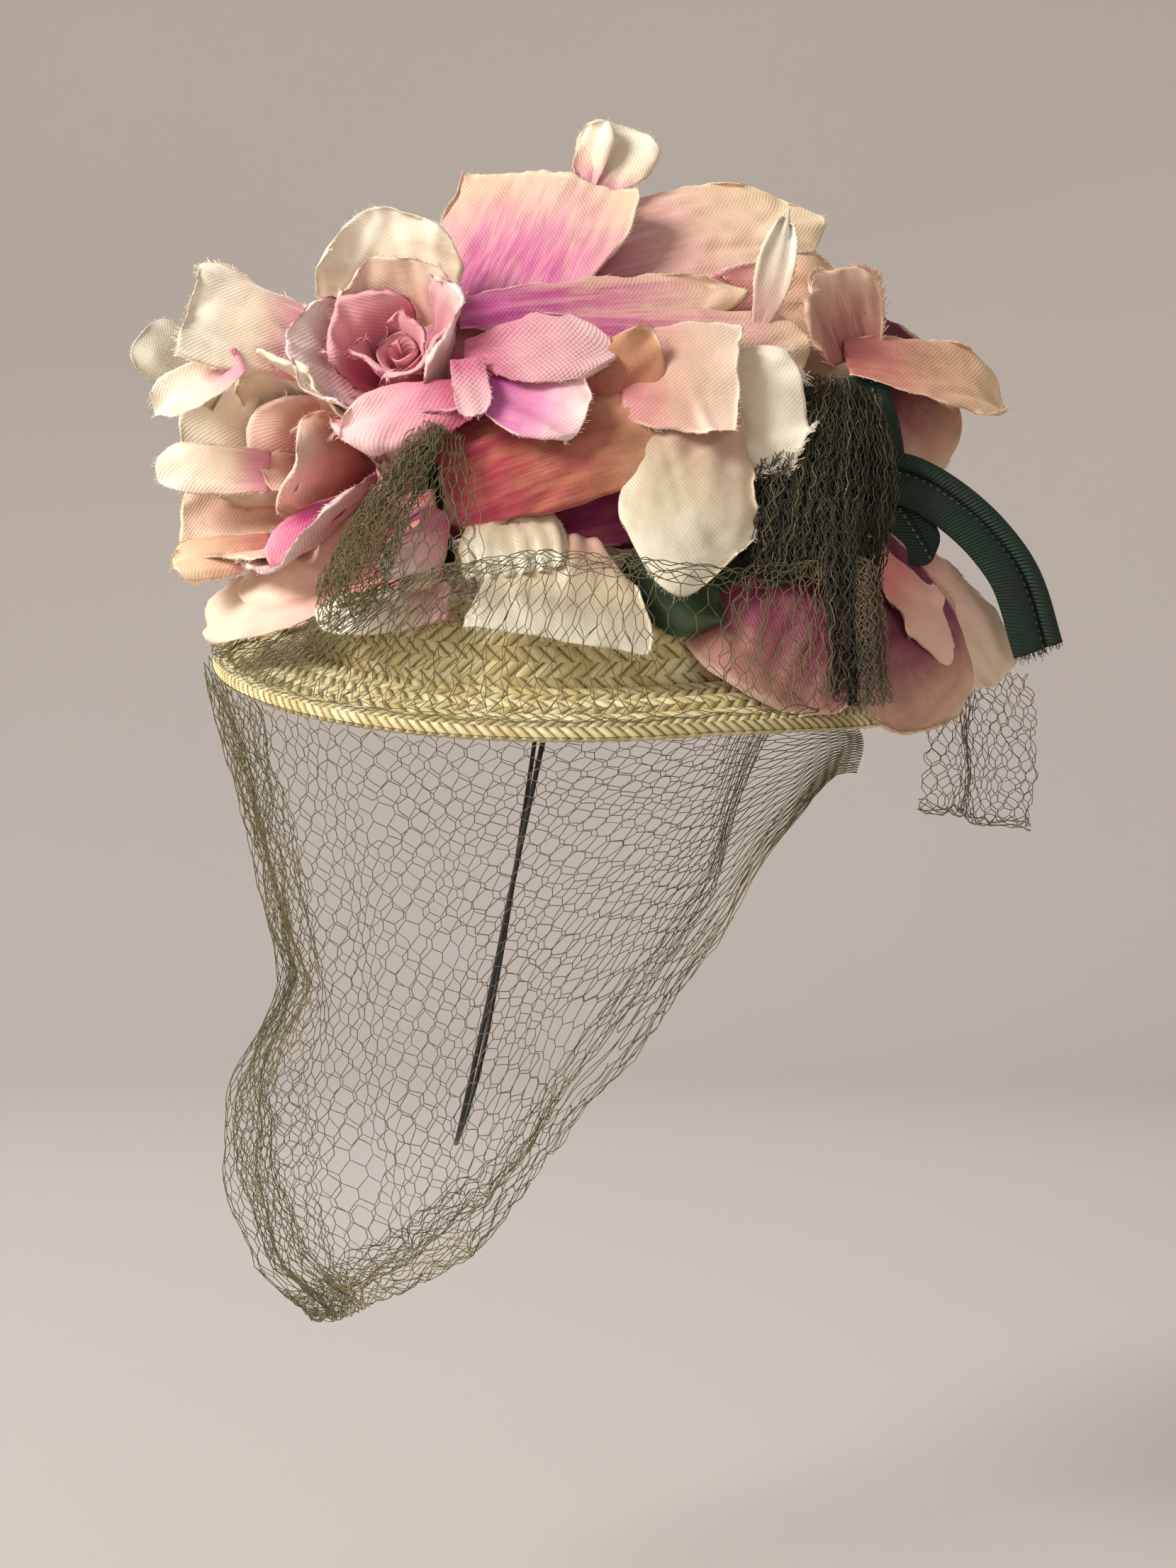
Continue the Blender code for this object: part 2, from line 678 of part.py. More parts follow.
def veil_surface(around, drop):
    """The face veil, from 0 at the far corner to 1 at the near one, and from 0 at the rim to 1 at the hem."""
    turn = 2.0 * around - 1.0
    top = oval_place(turn * VEIL_SWEEP, VEIL_TOP.radius, VEIL_TOP.height)
    side, along, up = read_rows(HEM, abs(turn))
    hem = Vector((math.copysign(side, turn), along, up))
    if abs(turn) > 0.85:
        corner = (abs(turn) - 0.85) / 0.15
        hem = hem.lerp(top + Vector((0.0, 0.0, -9.0)), corner)
    place = top.lerp(hem, drop)
    forward = read_rows(POUCH, drop)[0] * (1.0 - ease(abs(turn) / 0.45))
    return place + Vector((0.0, -forward, 0.0))


def brim_net_surface(around, drop):
    """The net over the brim, from 0 at the far front to 1 at the near back, and from 0 at the tuck to 1."""
    first, last = TUCKS[0].angle, TUCKS[-1].angle
    angle = first + (last - first) * around
    tuck = Vector(read_rows(TUCKS, angle))
    rim = oval_place(math.radians(angle), NET_EDGE.radius, NET_EDGE.height)
    return tuck.lerp(rim, drop)


def tail_surface(across, drop):
    """The net's loose end behind the flowers."""
    fold = TAIL_FOLD * math.sin(2.5 * math.pi * across) + TAIL_SWAY * math.sin(math.pi * drop)
    return Vector((-16.0 - 44.0 * across, 109.5 + 38.0 * across + fold, -26.0 - 52.0 * drop - 6.0 * across))


def net_object(panel, folder, margin=0.0):
    """A net panel: a thin wall cut through in every cell, or with a margin the cutter that clears room for it."""
    name, surface, columns, rows = panel
    middle = surface(0.5, 0.5)
    push_across = BORDER_PUSH * NEAR_MIDDLE / (surface(0.5 + NEAR_MIDDLE, 0.5) - middle).length
    push_down = BORDER_PUSH * NEAR_MIDDLE / (surface(0.5, 0.5 + NEAR_MIDDLE) - middle).length
    if not margin:
        push_across = push_down = 0.0

    def grown(across, down):
        return surface(push_border(across, push_across), push_border(down, push_down))

    work = surface_grid(grown, columns, rows)
    if not margin:
        cells = list(work.faces)
        bmesh.ops.inset_individual(work, faces=cells, thickness=NET_BAR, use_even_offset=False)
        bmesh.ops.delete(work, geom=cells, context="FACES")
    split_faces(work)
    made = new_object(name, work, folder, "net")
    thicken(made, NET_WALL + 2.0 * margin)
    return made


def smooth_route(points, steps):
    """Points along a smooth curve through the given ones, at equal spacing."""
    points = [Vector(point) for point in points]
    ends = [2 * points[0] - points[1]] + points + [2 * points[-1] - points[-2]]
    fine = []
    for before, start, end, after in zip(ends, ends[1:], ends[2:], ends[3:]):
        for step in range(12):
            share = step / 12
            fine.append(0.5 * (
                2 * start + (end - before) * share
                + (2 * before - 5 * start + 4 * end - after) * share ** 2
                + (3 * start - before - 3 * end + after) * share ** 3
            ))
    fine.append(points[-1])
    lengths = [0.0]
    for start, end in zip(fine, fine[1:]):
        lengths.append(lengths[-1] + (end - start).length)
    route = []
    place = 0
    for step in range(steps + 1):
        wanted = lengths[-1] * step / steps
        while place < len(fine) - 2 and lengths[place + 1] < wanted:
            place += 1
        share = (wanted - lengths[place]) / (lengths[place + 1] - lengths[place])
        route.append(fine[place].lerp(fine[place + 1], share))
    return route


def chin_elastic(folder):
    """The round elastic, from inside the crown's left side, under the chin and up to its right side."""
    route = smooth_route(CORD_ROUTE, CORD_STEPS)
    curve = bpy.data.curves.new("chin_elastic", "CURVE")
    curve.dimensions = "3D"
    curve.bevel_depth = 0.5 * CORD_DIAMETER * MM
    curve.bevel_resolution = 2
    curve.use_fill_caps = True
    spline = curve.splines.new("POLY")
    spline.points.add(len(route) - 1)
    for point, place in zip(spline.points, route):
        point.co = (*(place * MM), 1.0)
    made = bpy.data.objects.new("chin_elastic", curve)
    made.data.materials.append(material("elastic"))
    folder.objects.link(made)


def ribbon_object(folder, name="ribbon_loop", wall=RIBBON_WALL, margin=0.0):
    """The ribbon, folded lengthwise into a flat tube that arches over the back."""
    route = smooth_route(RIBBON_ROUTE, RIBBON_STATIONS)
    face = Vector(RIBBON_FACE)

    def surface(across, along):
        place = along * RIBBON_STATIONS
        index = min(RIBBON_STATIONS - 1, int(place))
        onward = (route[index + 1] - route[index]).normalized()
        spot = route[index].lerp(route[index + 1], place - index)
        side = onward.cross(face).normalized()
        out = side.cross(onward).normalized()
        share = 2.0 * across - 1.0
        rise = 1.6 * (1.0 - share ** 2)
        return spot + side * (share * (0.5 * RIBBON_WIDTH + margin)) + out * rise

    work = surface_grid(surface, RIBBON_CELLS, RIBBON_STATIONS)
    split_faces(work)
    made = new_object(name, work, folder, "ribbon")
    thicken(made, wall + 2.0 * margin)
    return made


def rose_bud(rose, name, folder, margin=0.0):
    """The solid middle of a rose, drawn out along the rose's axis."""
    axis = Vector(rose.axis).normalized()
    work = bmesh.new()
    bmesh.ops.create_uvsphere(work, u_segments=6, v_segments=5, radius=1.0)
    turn = axis.to_track_quat("Z", "Y").to_matrix().to_4x4()
    middle = Matrix.Translation(Vector(rose.foot) + axis * BUD_LIFT)
    size = Matrix.Diagonal((BUD_RADIUS + margin, BUD_RADIUS + margin, BUD_REACH + margin, 1.0))
    bmesh.ops.transform(work, matrix=middle @ turn @ size, verts=work.verts)
    return new_object(name, work, folder, "pink")


def rose_stem(rose, name, folder, margin=0.0):
    """The bound stem under a rose, from its foot down to the crown's top."""
    foot = Vector(rose.foot) + Vector(rose.axis).normalized() * STEM_RADIUS
    run = foot - Vector(rose.root)
    work = bmesh.new()
    bmesh.ops.create_cone(work, cap_ends=True, segments=6, radius1=STEM_RADIUS + margin,
                          radius2=STEM_RADIUS + margin, depth=run.length)
    turn = run.to_track_quat("Z", "Y").to_matrix().to_4x4()
    place = Matrix.Translation(0.5 * (foot + Vector(rose.root)))
    bmesh.ops.transform(work, matrix=place @ turn, verts=work.verts)
    return new_object(name, work, folder, "leaf")


def rose_heart(rose, name, folder):
    """The closed heart of a rose: a bud on its stem with its tightest petals fused round it."""
    heart = rose_bud(rose, name, folder)
    leaves = [petal_object(rose_petal(rose, row), folder, cells=SMALL_CELLS) for row in HEART_PETALS]
    leaves.append(rose_stem(rose, name, folder))
    for leaf in leaves:
        join = heart.modifiers.new("join", "BOOLEAN")
        join.operation = "UNION"
        join.object = leaf
    settle(heart)
    keep_largest(heart)
    for leaf in leaves:
        bpy.data.objects.remove(leaf)
    return heart


def build():
    """Makes every piece of the hat."""
    for old in list(bpy.data.objects):
        bpy.data.objects.remove(old)
    hat = bpy.data.collections.new(HAT)
    bpy.context.scene.collection.children.link(hat)
    spare = bpy.data.collections.new("cutters")
    bpy.context.scene.collection.children.link(spare)
    cutters = Cutters()

    turned_oval("straw_crown", CROWN, hat)
    turned_oval("straw_brim", BRIM, hat)
    turned_oval("rim_braid", RIM_BRAID, hat)
    cutters.add(turned_oval("straw", STRAW_ROOM, spare))
    chin_elastic(hat)

    for panel in (
        ("face_veil", veil_surface, VEIL_COLUMNS, VEIL_ROWS),
        ("brim_veil", brim_net_surface, BRIM_NET_COLUMNS, BRIM_NET_ROWS),
        ("veil_tail", tail_surface, TAIL_COLUMNS, TAIL_ROWS),
    ):
        net = net_object(panel, hat)
        cutters.add(net_object(panel, spare, NET_CLEARANCE), net)

    ribbon = ribbon_object(hat)
    cutters.add(ribbon_object(spare, "ribbon_loop", margin=TRIM_CLEARANCE), ribbon)

    roses = (("pink_rose", PINK_ROSE), ("blush_rose", BLUSH_ROSE))
    order = [(petal, PETAL_WALL) for petal in PETALS[:NEAREST]]
    order += [(sheaf, SHEAF_WALL) for sheaf in SHEAVES]
    order += [(rose_petal(rose, row), PETAL_WALL) for _, rose in roses for row in rose.petals]
    order += [(petal, PETAL_WALL) for petal in PETALS[NEAREST:]]
    order += [(leaf, PETAL_WALL) for leaf in LEAVES]
    for name, rose in roses:
        heart = rose_heart(rose, name + "_heart", hat)
        cutters.trim(heart)
        cutters.add(rose_bud(rose, name, spare, 2.0 * TRIM_CLEARANCE), heart)
        cutters.add(rose_stem(rose, name, spare, 1.5 * TRIM_CLEARANCE), heart)
        for row in HEART_PETALS:
            room = petal_object(rose_petal(rose, row), spare, PETAL_WALL, TRIM_CLEARANCE, SMALL_CELLS)
            cutters.add(room, heart)
    for petal, wall in order:
        piece = petal_object(petal, hat, wall)
        cutters.trim(piece)
        cutters.add(petal_object(petal, spare, wall, TRIM_CLEARANCE), piece)


build()
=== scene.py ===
"""The looks of the tilt hat: plaited straw, fabric roses and petals, net veil, ribbon and chin elastic.

Sizes are in millimetres until a mesh is finished. The wearer looks along -Y, the wearer's left is +X and up
is +Z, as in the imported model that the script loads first.
"""

import sys
import logging
import math
import random
from dataclasses import dataclass, field, replace
from enum import Enum
from functools import cache
from typing import Any, Callable, Iterable, Optional, Sequence

import bmesh
import bpy
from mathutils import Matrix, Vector, noise
from mathutils.bvhtree import BVHTree


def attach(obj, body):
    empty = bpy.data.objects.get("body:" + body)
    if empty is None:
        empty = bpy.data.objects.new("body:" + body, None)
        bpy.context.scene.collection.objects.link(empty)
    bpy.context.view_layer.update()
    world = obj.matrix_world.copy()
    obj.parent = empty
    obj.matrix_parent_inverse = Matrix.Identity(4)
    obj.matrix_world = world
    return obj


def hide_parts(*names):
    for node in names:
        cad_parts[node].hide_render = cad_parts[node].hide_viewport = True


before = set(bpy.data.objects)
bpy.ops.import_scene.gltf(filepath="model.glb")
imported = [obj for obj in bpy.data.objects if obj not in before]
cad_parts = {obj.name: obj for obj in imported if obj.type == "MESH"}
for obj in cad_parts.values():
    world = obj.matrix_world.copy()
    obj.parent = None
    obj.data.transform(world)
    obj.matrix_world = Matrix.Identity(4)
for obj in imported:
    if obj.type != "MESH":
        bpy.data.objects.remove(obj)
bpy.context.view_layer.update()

MM = 0.001
NOISE_SEED = 5
log = logging.getLogger("tilt_hat")

Tint = tuple[int, int, int]
Pair = tuple[float, float]
Triple = tuple[float, float, float]
Rows = tuple[tuple[float, ...], ...]
Surface = Callable[[float, float], Vector]
Work = bmesh.types.BMesh
Piece = bpy.types.Object
Material = bpy.types.Material
Thread = list[Vector]


def ease(share: float) -> float:
    """A smooth step from 0 to 1."""
    share = min(1.0, max(0.0, share))
    return share * share * (3.0 - 2.0 * share)


def read_rows(rows: Sequence[Sequence[float]], share: float) -> list[float]:
    """Reads a table at a share of its first column.

    Args:
        rows: the table's rows, in order of their first number.
        share: where to read it.

    Returns:
        The other numbers of the row, joined smoothly between the rows.
    """
    for low, high in zip(rows, rows[1:]):
        if share <= high[0]:
            linear = (share - low[0]) / (high[0] - low[0])
            part = 0.5 * (ease(linear) + linear)
            return [a + (b - a) * part for a, b in zip(low[1:], high[1:])]
    return list(rows[-1][1:])


def linear_colour(red: int, green: int, blue: int) -> tuple[float, float, float, float]:
    """The scene-linear colour of a screen colour given from 0 to 255."""
    parts = [((c / 255.0 + 0.055) / 1.055) ** 2.4 if c > 10 else c / 3294.6 for c in (red, green, blue)]
    return (*parts, 1.0)


def ripple(place: Vector, size: float, seed: float = 0.0) -> float:
    """Smooth noise from -1 to 1 with lumps of about the given size in millimetres."""
    return noise.noise(place / size + Vector((seed, 1.7 * seed, -0.6 * seed)))


def ripple_vector(place: Vector, size: float, seed: float = 0.0) -> Vector:
    """Smooth noise in three directions, each from -1 to 1."""
    return noise.noise_vector(place / size + Vector((seed, 1.7 * seed, -0.6 * seed)))


class Value:
    """A shader socket that takes part in sums written as Python expressions."""

    def __init__(self, shade: "Shade", socket: bpy.types.NodeSocket) -> None:
        """Wraps a socket of the shade's tree."""
        self.shade = shade
        self.socket = socket

    def maths(self, operation: str, *others: Any) -> "Value":
        """The result of a Math node on the value and other terms."""
        return self.shade.maths(operation, self, *others)

    def __add__(self, other: Any) -> "Value":
        """The sum."""
        return self.maths("ADD", other)

    __radd__ = __add__

    def __mul__(self, other: Any) -> "Value":
        """The product."""
        return self.maths("MULTIPLY", other)

    __rmul__ = __mul__

    def __sub__(self, other: Any) -> "Value":
        """The difference."""
        return self.maths("SUBTRACT", other)

    def __rsub__(self, other: Any) -> "Value":
        """The difference with the value last."""
        return self.shade.maths("SUBTRACT", other, self)

    def step(self, low: float, high: float) -> "Value":
        """A smooth step of the value from 0 at low to 1 at high."""
        ranged = self.shade.node("ShaderNodeMapRange", {"interpolation_type": "SMOOTHSTEP"},
                                 {"Value": self, "From Min": low, "From Max": high})
        return Value(self.shade, ranged.outputs[0])


class Shade:
    """A material's node tree, built from typed calls."""

    def __init__(self, name: str) -> None:
        """Makes an empty material with its shader and output."""
        self.material = bpy.data.materials.new(name)
        self.material.use_nodes = True
        self.tree = self.material.node_tree
        self.shader = self.tree.nodes["Principled BSDF"]

    def node(self, kind: str, settings: Optional[dict] = None,
             inputs: Optional[dict] = None) -> bpy.types.Node:
        """Adds a node.

        Args:
            kind: the node's type.
            settings: its settings, set first.
            inputs: the values or links of its sockets, by the socket's identifier.

        Returns:
            The node.
        """
        made = self.tree.nodes.new(kind)
        for key, setting in (settings or {}).items():
            setattr(made, key, setting)
        for key, term in (inputs or {}).items():
            self.plug(next(s for s in made.inputs if s.identifier == key), term)
        return made

    def plug(self, socket: bpy.types.NodeSocket, term: Any) -> None:
        """Sets a socket to a number or a screen or linear colour, or links it to a value."""
        if isinstance(term, Value):
            self.tree.links.new(term.socket, socket)
        elif isinstance(term, tuple) and len(term) == 3:
            socket.default_value = linear_colour(*term)
        else:
            socket.default_value = term

    def maths(self, operation: str, *terms: Any) -> Value:
        """Adds a Math node on the terms and gives its result."""
        keys = ("Value", "Value_001", "Value_002")
        made = self.node("ShaderNodeMath", {"operation": operation}, dict(zip(keys, terms)))
        return Value(self, made.outputs[0])

    def mix(self, share: Any, low: Any, high: Any) -> Value:
        """A mix of two colours with a share from 0 to 1 of the second."""
        mixed = self.node("ShaderNodeMix", {"data_type": "RGBA", "clamp_factor": True},
                          {"Factor_Float": share, "A_Color": low, "B_Color": high})
        return Value(self, mixed.outputs[2])

    def layer(self, name: str) -> tuple[Value, Value]:
        """The two coordinates of one of the piece's own UV maps."""
        source = self.node("ShaderNodeUVMap", {"uv_map": name})
        parts = self.node("ShaderNodeSeparateXYZ", {}, {"Vector": Value(self, source.outputs[0])})
        return Value(self, parts.outputs[0]), Value(self, parts.outputs[1])

    def place(self) -> Value:
        """The Object coordinates."""
        return Value(self, self.node("ShaderNodeTexCoord").outputs["Object"])

    def vector(self, *parts: Any) -> Value:
        """A vector of up to three values or numbers."""
        return Value(self, self.node("ShaderNodeCombineXYZ", {}, dict(zip("XYZ", parts))).outputs[0])

    def grain(self, place: Value, scale: float, detail: float = 2.0, rough: float = 0.5,
              bend: float = 0.0) -> Value:
        """Smooth noise from 0 to 1: scale lumps to a unit, finer ones by detail and rough, bent by bend."""
        made = self.node("ShaderNodeTexNoise", {}, {"Vector": place, "Scale": scale, "Detail": detail,
                                                    "Roughness": rough, "Distortion": bend})
        return Value(self, made.outputs[0])

    def chance(self, place: Value) -> Value:
        """A random number from 0 to 1 that jumps from cell to cell."""
        return Value(self, self.node("ShaderNodeTexWhiteNoise", {}, {"Vector": place}).outputs[0])

    def bump(self, height: Value, depth: float) -> Value:
        """A normal from a height whose whole range is depth millimetres."""
        made = self.node("ShaderNodeBump", {}, {"Height": height, "Distance": depth * MM, "Strength": 1.0})
        return Value(self, made.outputs[0])

    def close(self, **sockets: Any) -> Material:
        """Feeds the shader's sockets, named with underscores for spaces, and gives the material."""
        for key, term in sockets.items():
            self.plug(self.shader.inputs[key.replace("_", " ")], term)
        return self.material


STAIN = (204, 176, 136)
BURGUNDY = (104, 34, 66)


class Weave(Enum):
    """How a cloth is woven."""

    SATIN = "satin"
    PLAIN = "plain"
    VELVET = "velvet"


@dataclass(frozen=True)
class ClothFinish:
    """A dyed petal cloth: colours from the base to the tip, streaks up from the base, and a cut rim.

    inset keeps the streaks away from the border, stain is how much the cloth has yellowed in patches, and
    grit is how strong its weave stands out.
    """

    name: str
    base: Tint
    body: Tint
    tip: Tint
    streak: Tint = (170, 60, 120)
    reach: float = 0.55
    strength: float = 0.7
    inset: float = 0.0
    stain: float = 0.3
    rim: Tint = (232, 220, 190)
    rim_width: float = 0.035
    rim_strength: float = 0.6
    rim_gaps: float = 0.3
    weave: Weave = Weave.SATIN
    pitch: float = 0.7
    grit: float = 0.2
    roughness: float = 0.55
    sheen: float = 0.35

    def threads(self, shade: Shade, across: Value, along: Value) -> Value:
        """The weave's relief from 0 to 1, from the cloth's own millimetres."""
        turn = 2.0 * math.pi / self.pitch
        if self.weave is Weave.PLAIN:
            warp = (across * turn).maths("SINE")
            weft = (along * turn).maths("SINE")
            slub = shade.grain(shade.vector(across * 0.5, along * 3.0, 0.0), 1.0, 1.0)
            return (warp * weft * 0.5 + 0.5) * (0.6 + 0.6 * slub)
        if self.weave is Weave.VELVET:
            return shade.grain(shade.vector(across * 3.2, along * 2.0, 0.0), 1.0, 2.0, 0.6)
        twill = ((across + along) * (0.5 * turn)).maths("SINE") * 0.5 + 0.5
        fine = shade.grain(shade.vector(across * 5.0, along * 1.1, 0.0), 1.0, 2.0, 0.6)
        return twill * 0.5 + fine * 0.6

    def material(self) -> Material:
        """The cloth's material."""
        shade = Shade(self.name)
        u, v = shade.layer("petal")
        x, y = shade.layer("cloth")
        cloth = shade.vector(x, y, 0.0)
        blotch = shade.grain(cloth, 0.07, 3.0)
        fleck = shade.grain(cloth, 0.9, 3.0, 0.65)
        fibre = shade.grain(shade.vector(x * 1.5, y * 0.08, 0.0), 1.0, 3.0, 0.6, 0.4)
        broad = shade.grain(shade.vector(x * 0.3, y * 0.035, 3.0), 1.0, 2.0, 0.55, 0.4)
        side = 1.0 - (u * 2.0 - 1.0).maths("ABSOLUTE")

        height = v + (blotch - 0.5) * 0.5
        colour = shade.mix(height.step(0.05, 0.5), self.base, self.body)
        colour = shade.mix(height.step(0.5, 0.95), colour, self.tip)
        old = shade.grain(cloth, 0.045, 4.0, 0.6, 0.6).step(0.5, 0.72)
        colour = shade.mix(old * self.stain, colour, STAIN)
        fade = 1.0 - (v + (broad - 0.5) * 0.9).step(0.3 * self.reach, self.reach + 0.2)
        if self.inset:
            fade = fade * (side + (broad - 0.5) * 0.7).step(0.1 * self.inset, self.inset)
        lines = (broad * 0.62 + fibre * 0.38).step(0.4, 0.6)
        colour = shade.mix((lines * 0.85 + 0.15) * fade * self.strength, colour, self.streak)

        border = side.maths("MINIMUM", (1.0 - v) * 1.2) + (fleck - 0.5) * (1.2 * self.rim_width)
        rim = 1.0 - border.step(0.3 * self.rim_width, 1.6 * self.rim_width)
        patch = shade.grain(cloth, 0.16, 2.0).step(self.rim_gaps, self.rim_gaps + 0.12)
        colour = shade.mix(rim * patch * self.rim_strength, colour, self.rim)

        weave = self.threads(shade, x, y)
        # Painted shade: the cloth is darkened where its weave dips between the threads, and also at random
        # flecks.
        weave_shade_and_fleck = tuple(0.45 * c for c in linear_colour(*self.body)[:3]) + (1.0,)
        colour = shade.mix((1.0 - weave) * 0.15 + (0.5 - fleck) * 0.2, colour, weave_shade_and_fleck)
        soft = shade.grain(cloth, 0.12, 2.0, 0.4)
        relief = weave * self.grit + soft + fleck * 0.12
        rough = self.roughness + (fleck - 0.5) * 0.16 + (blotch - 0.5) * 0.14
        return shade.close(Base_Color=colour, Roughness=rough, Normal=shade.bump(relief, 0.6),
                           Sheen_Weight=self.sheen, Sheen_Roughness=0.45,
                           Sheen_Tint=self.tip, Specular_IOR_Level=0.42)


@dataclass(frozen=True)
class StrawFinish:
    """Split straw: the splints' colours and the size of the plait that the UV map counts in."""

    name: str = "straw"
    pale: Tint = (240, 230, 182)
    deep: Tint = (204, 182, 120)
    brown: Tint = (98, 74, 38)

    def material(self) -> Material:
        """The straw's material; its UV map counts splints along the row and half rows across it."""
        shade = Shade(self.name)
        u, v = shade.layer("plait")
        half = v.maths("FLOOR")
        inside = v.maths("FRACT")
        odd = half.maths("MODULO", 2.0).maths("ABSOLUTE")
        lean = inside * (1.0 - 2.0 * odd) * 0.9 + odd * 0.5
        run = u + lean
        splint = run.maths("FLOOR")
        share = run.maths("FRACT")
        tint = shade.chance(shade.vector(splint, half, 2.0))
        other = shade.chance(shade.vector(splint, half, 7.0))
        across = (share * 2.0 - 1.0).maths("ABSOLUTE")
        groove = across.step(0.62, 0.98)
        vein = shade.grain(shade.vector(share * 9.0 + other * 40.0, inside * 1.3, half), 1.0, 3.0, 0.6)
        spot = shade.grain(shade.place(), 160.0, 3.0)
        colour = shade.mix(tint * 0.75 + vein * 0.35, self.pale, self.deep)
        colour = shade.mix((vein - 0.55) * 1.2 * other, colour, self.brown)
        # Painted shade: the grooves between the splints are darkened towards brown; the spot term adds darker
        # brown patches at random.
        colour = shade.mix(groove * 0.85 + (spot - 0.62) * 0.8, colour, self.brown)
        height = (1.0 - across * across) * 0.8 + vein * 0.16
        rough = 0.34 + vein * 0.2 + groove * 0.25
        return shade.close(Base_Color=colour, Roughness=rough, Normal=shade.bump(height, 0.8),
                           Specular_IOR_Level=0.5, Coat_Roughness=0.3, Coat_Weight=0.12)


@dataclass(frozen=True)
class ThreadFinish:
    """A twisted thread, whose colour drifts from place to place over the piece."""

    name: str
    light: Tint
    dark: Tint
    roughness: float = 0.62
    sheen: float = 0.15

    def material(self) -> Material:
        """The thread's material, by Object coordinates."""
        shade = Shade(self.name)
        place = shade.place()
        drift = shade.grain(place, 28.0, 2.0)
        fleck = shade.grain(place, 900.0, 2.0, 0.6)
        colour = shade.mix((drift - 0.5) * 1.6 + (fleck - 0.5) * 0.9 + 0.5, self.light, self.dark)
        return shade.close(Base_Color=colour, Roughness=self.roughness + (fleck - 0.5) * 0.3,
                           Normal=shade.bump(shade.grain(place, 2600.0, 1.0), 0.08),
                           Sheen_Weight=self.sheen, Sheen_Tint=self.light)


@dataclass(frozen=True)
class RibbonFinish:
    """Cross-ribbed ribbon with painted shade in its rib troughs and along its seam's fold, and small pale
    stitches beside the seam.
    """

    name: str = "ribbon"
    green: Tint = (20, 56, 36)
    deep_green_and_shade: Tint = (5, 18, 12)
    stitch: Tint = (128, 138, 108)
    seam: float = 0.33
    stitches: float = 0.4
    rib: float = 1.15

    def material(self) -> Material:
        """The ribbon's material; its UV maps give shares of the width and millimetres along."""
        shade = Shade(self.name)
        u, v = shade.layer("petal")
        x, y = shade.layer("cloth")
        rib = ((y + x * 0.45) * (2.0 * math.pi / self.rib)).maths("SINE") * 0.5 + 0.5
        wear = shade.grain(shade.vector(x, y, 0.0), 0.35, 3.0, 0.6)
        fine = shade.grain(shade.vector(x * 4.0, y * 0.8, 0.0), 1.0, 2.0)
        colour = shade.mix(wear * 0.7, self.green, self.deep_green_and_shade)
        # Painted shade in the troughs between the ribs.
        colour = shade.mix((1.0 - rib) * 0.45, colour, self.deep_green_and_shade)
        from_seam = (u - self.seam).maths("ABSOLUTE")
        seam = 1.0 - from_seam.step(0.01, 0.05)
        # Painted shade along the seam, where the ribbon's fold dips.
        colour = shade.mix(seam * 0.85, colour, self.deep_green_and_shade)
        beside = (u - self.stitches).maths("ABSOLUTE")
        dash = (y * 0.42).maths("FRACT").step(0.55, 0.65) * (1.0 - beside.step(0.012, 0.03))
        colour = shade.mix(dash * 0.8, colour, self.stitch)
        height = rib * 0.7 + fine * 0.3 - seam * 1.2 + dash * 0.5
        return shade.close(Base_Color=colour, Roughness=0.7 + (wear - 0.5) * 0.2,
                           Normal=shade.bump(height, 0.45), Sheen_Weight=0.08,
                           Sheen_Tint=self.green)


CREAM_RIM = (240, 230, 202)
PINK = ClothFinish("pink_cloth", (196, 82, 118), (228, 158, 168), (236, 196, 192), streak=(190, 66, 118),
                   reach=0.55, strength=0.5, rim=BURGUNDY, rim_width=0.026, rim_strength=0.9, rim_gaps=0.5,
                   stain=0.15, pitch=0.9, grit=0.24)
PALE_PINK = replace(PINK, name="pale_pink_cloth", base=(210, 114, 138), body=(232, 180, 182),
                    tip=(240, 212, 206), strength=0.4)
LIT_PINK = replace(PALE_PINK, name="lit_pink_cloth", base=(222, 140, 156), body=(244, 200, 198),
                   tip=(248, 226, 218), strength=0.3)
INNER_PINK = replace(PINK, name="inner_pink_cloth", base=(176, 60, 96), body=(214, 126, 144),
                     tip=(230, 168, 172), rim_gaps=0.42)
CANVAS = replace(PINK, name="pink_canvas", base=(206, 112, 138), body=(218, 160, 166), tip=(226, 184, 184),
                 weave=Weave.PLAIN, pitch=1.7, roughness=0.7, strength=0.4, reach=0.4, grit=0.4)
BLUSH = ClothFinish("blush_cloth", (218, 130, 124), (234, 190, 170), (240, 214, 188), streak=(210, 112, 122),
                    reach=0.45, strength=0.45, rim_strength=0.5)
CANOPY = replace(BLUSH, name="canopy_cloth", base=(214, 138, 124), body=(232, 206, 178), tip=(240, 226, 200))
SALMON = ClothFinish("salmon_cloth", (190, 92, 86), (228, 162, 148), (240, 206, 188), streak=(186, 66, 92),
                     reach=0.5, strength=0.5, rim=(232, 204, 176))
TAN_SATIN = replace(BLUSH, name="tan_satin", base=(206, 136, 134), body=(216, 178, 156), tip=(228, 204, 180),
                    roughness=0.42, rim=(244, 234, 212), rim_width=0.05, rim_gaps=0.1)
CREAM = ClothFinish("cream_cloth", (224, 150, 162), (240, 220, 192), (246, 236, 214), streak=(206, 104, 146),
                    reach=0.3, strength=0.5, rim=(206, 188, 150), rim_strength=0.4)
SATIN = replace(CREAM, name="cream_satin", base=(190, 154, 132), body=(212, 196, 166), tip=(232, 224, 202),
                roughness=0.34, sheen=0.1, streak=(206, 140, 136), strength=0.35, rim=CREAM_RIM, grit=0.12)
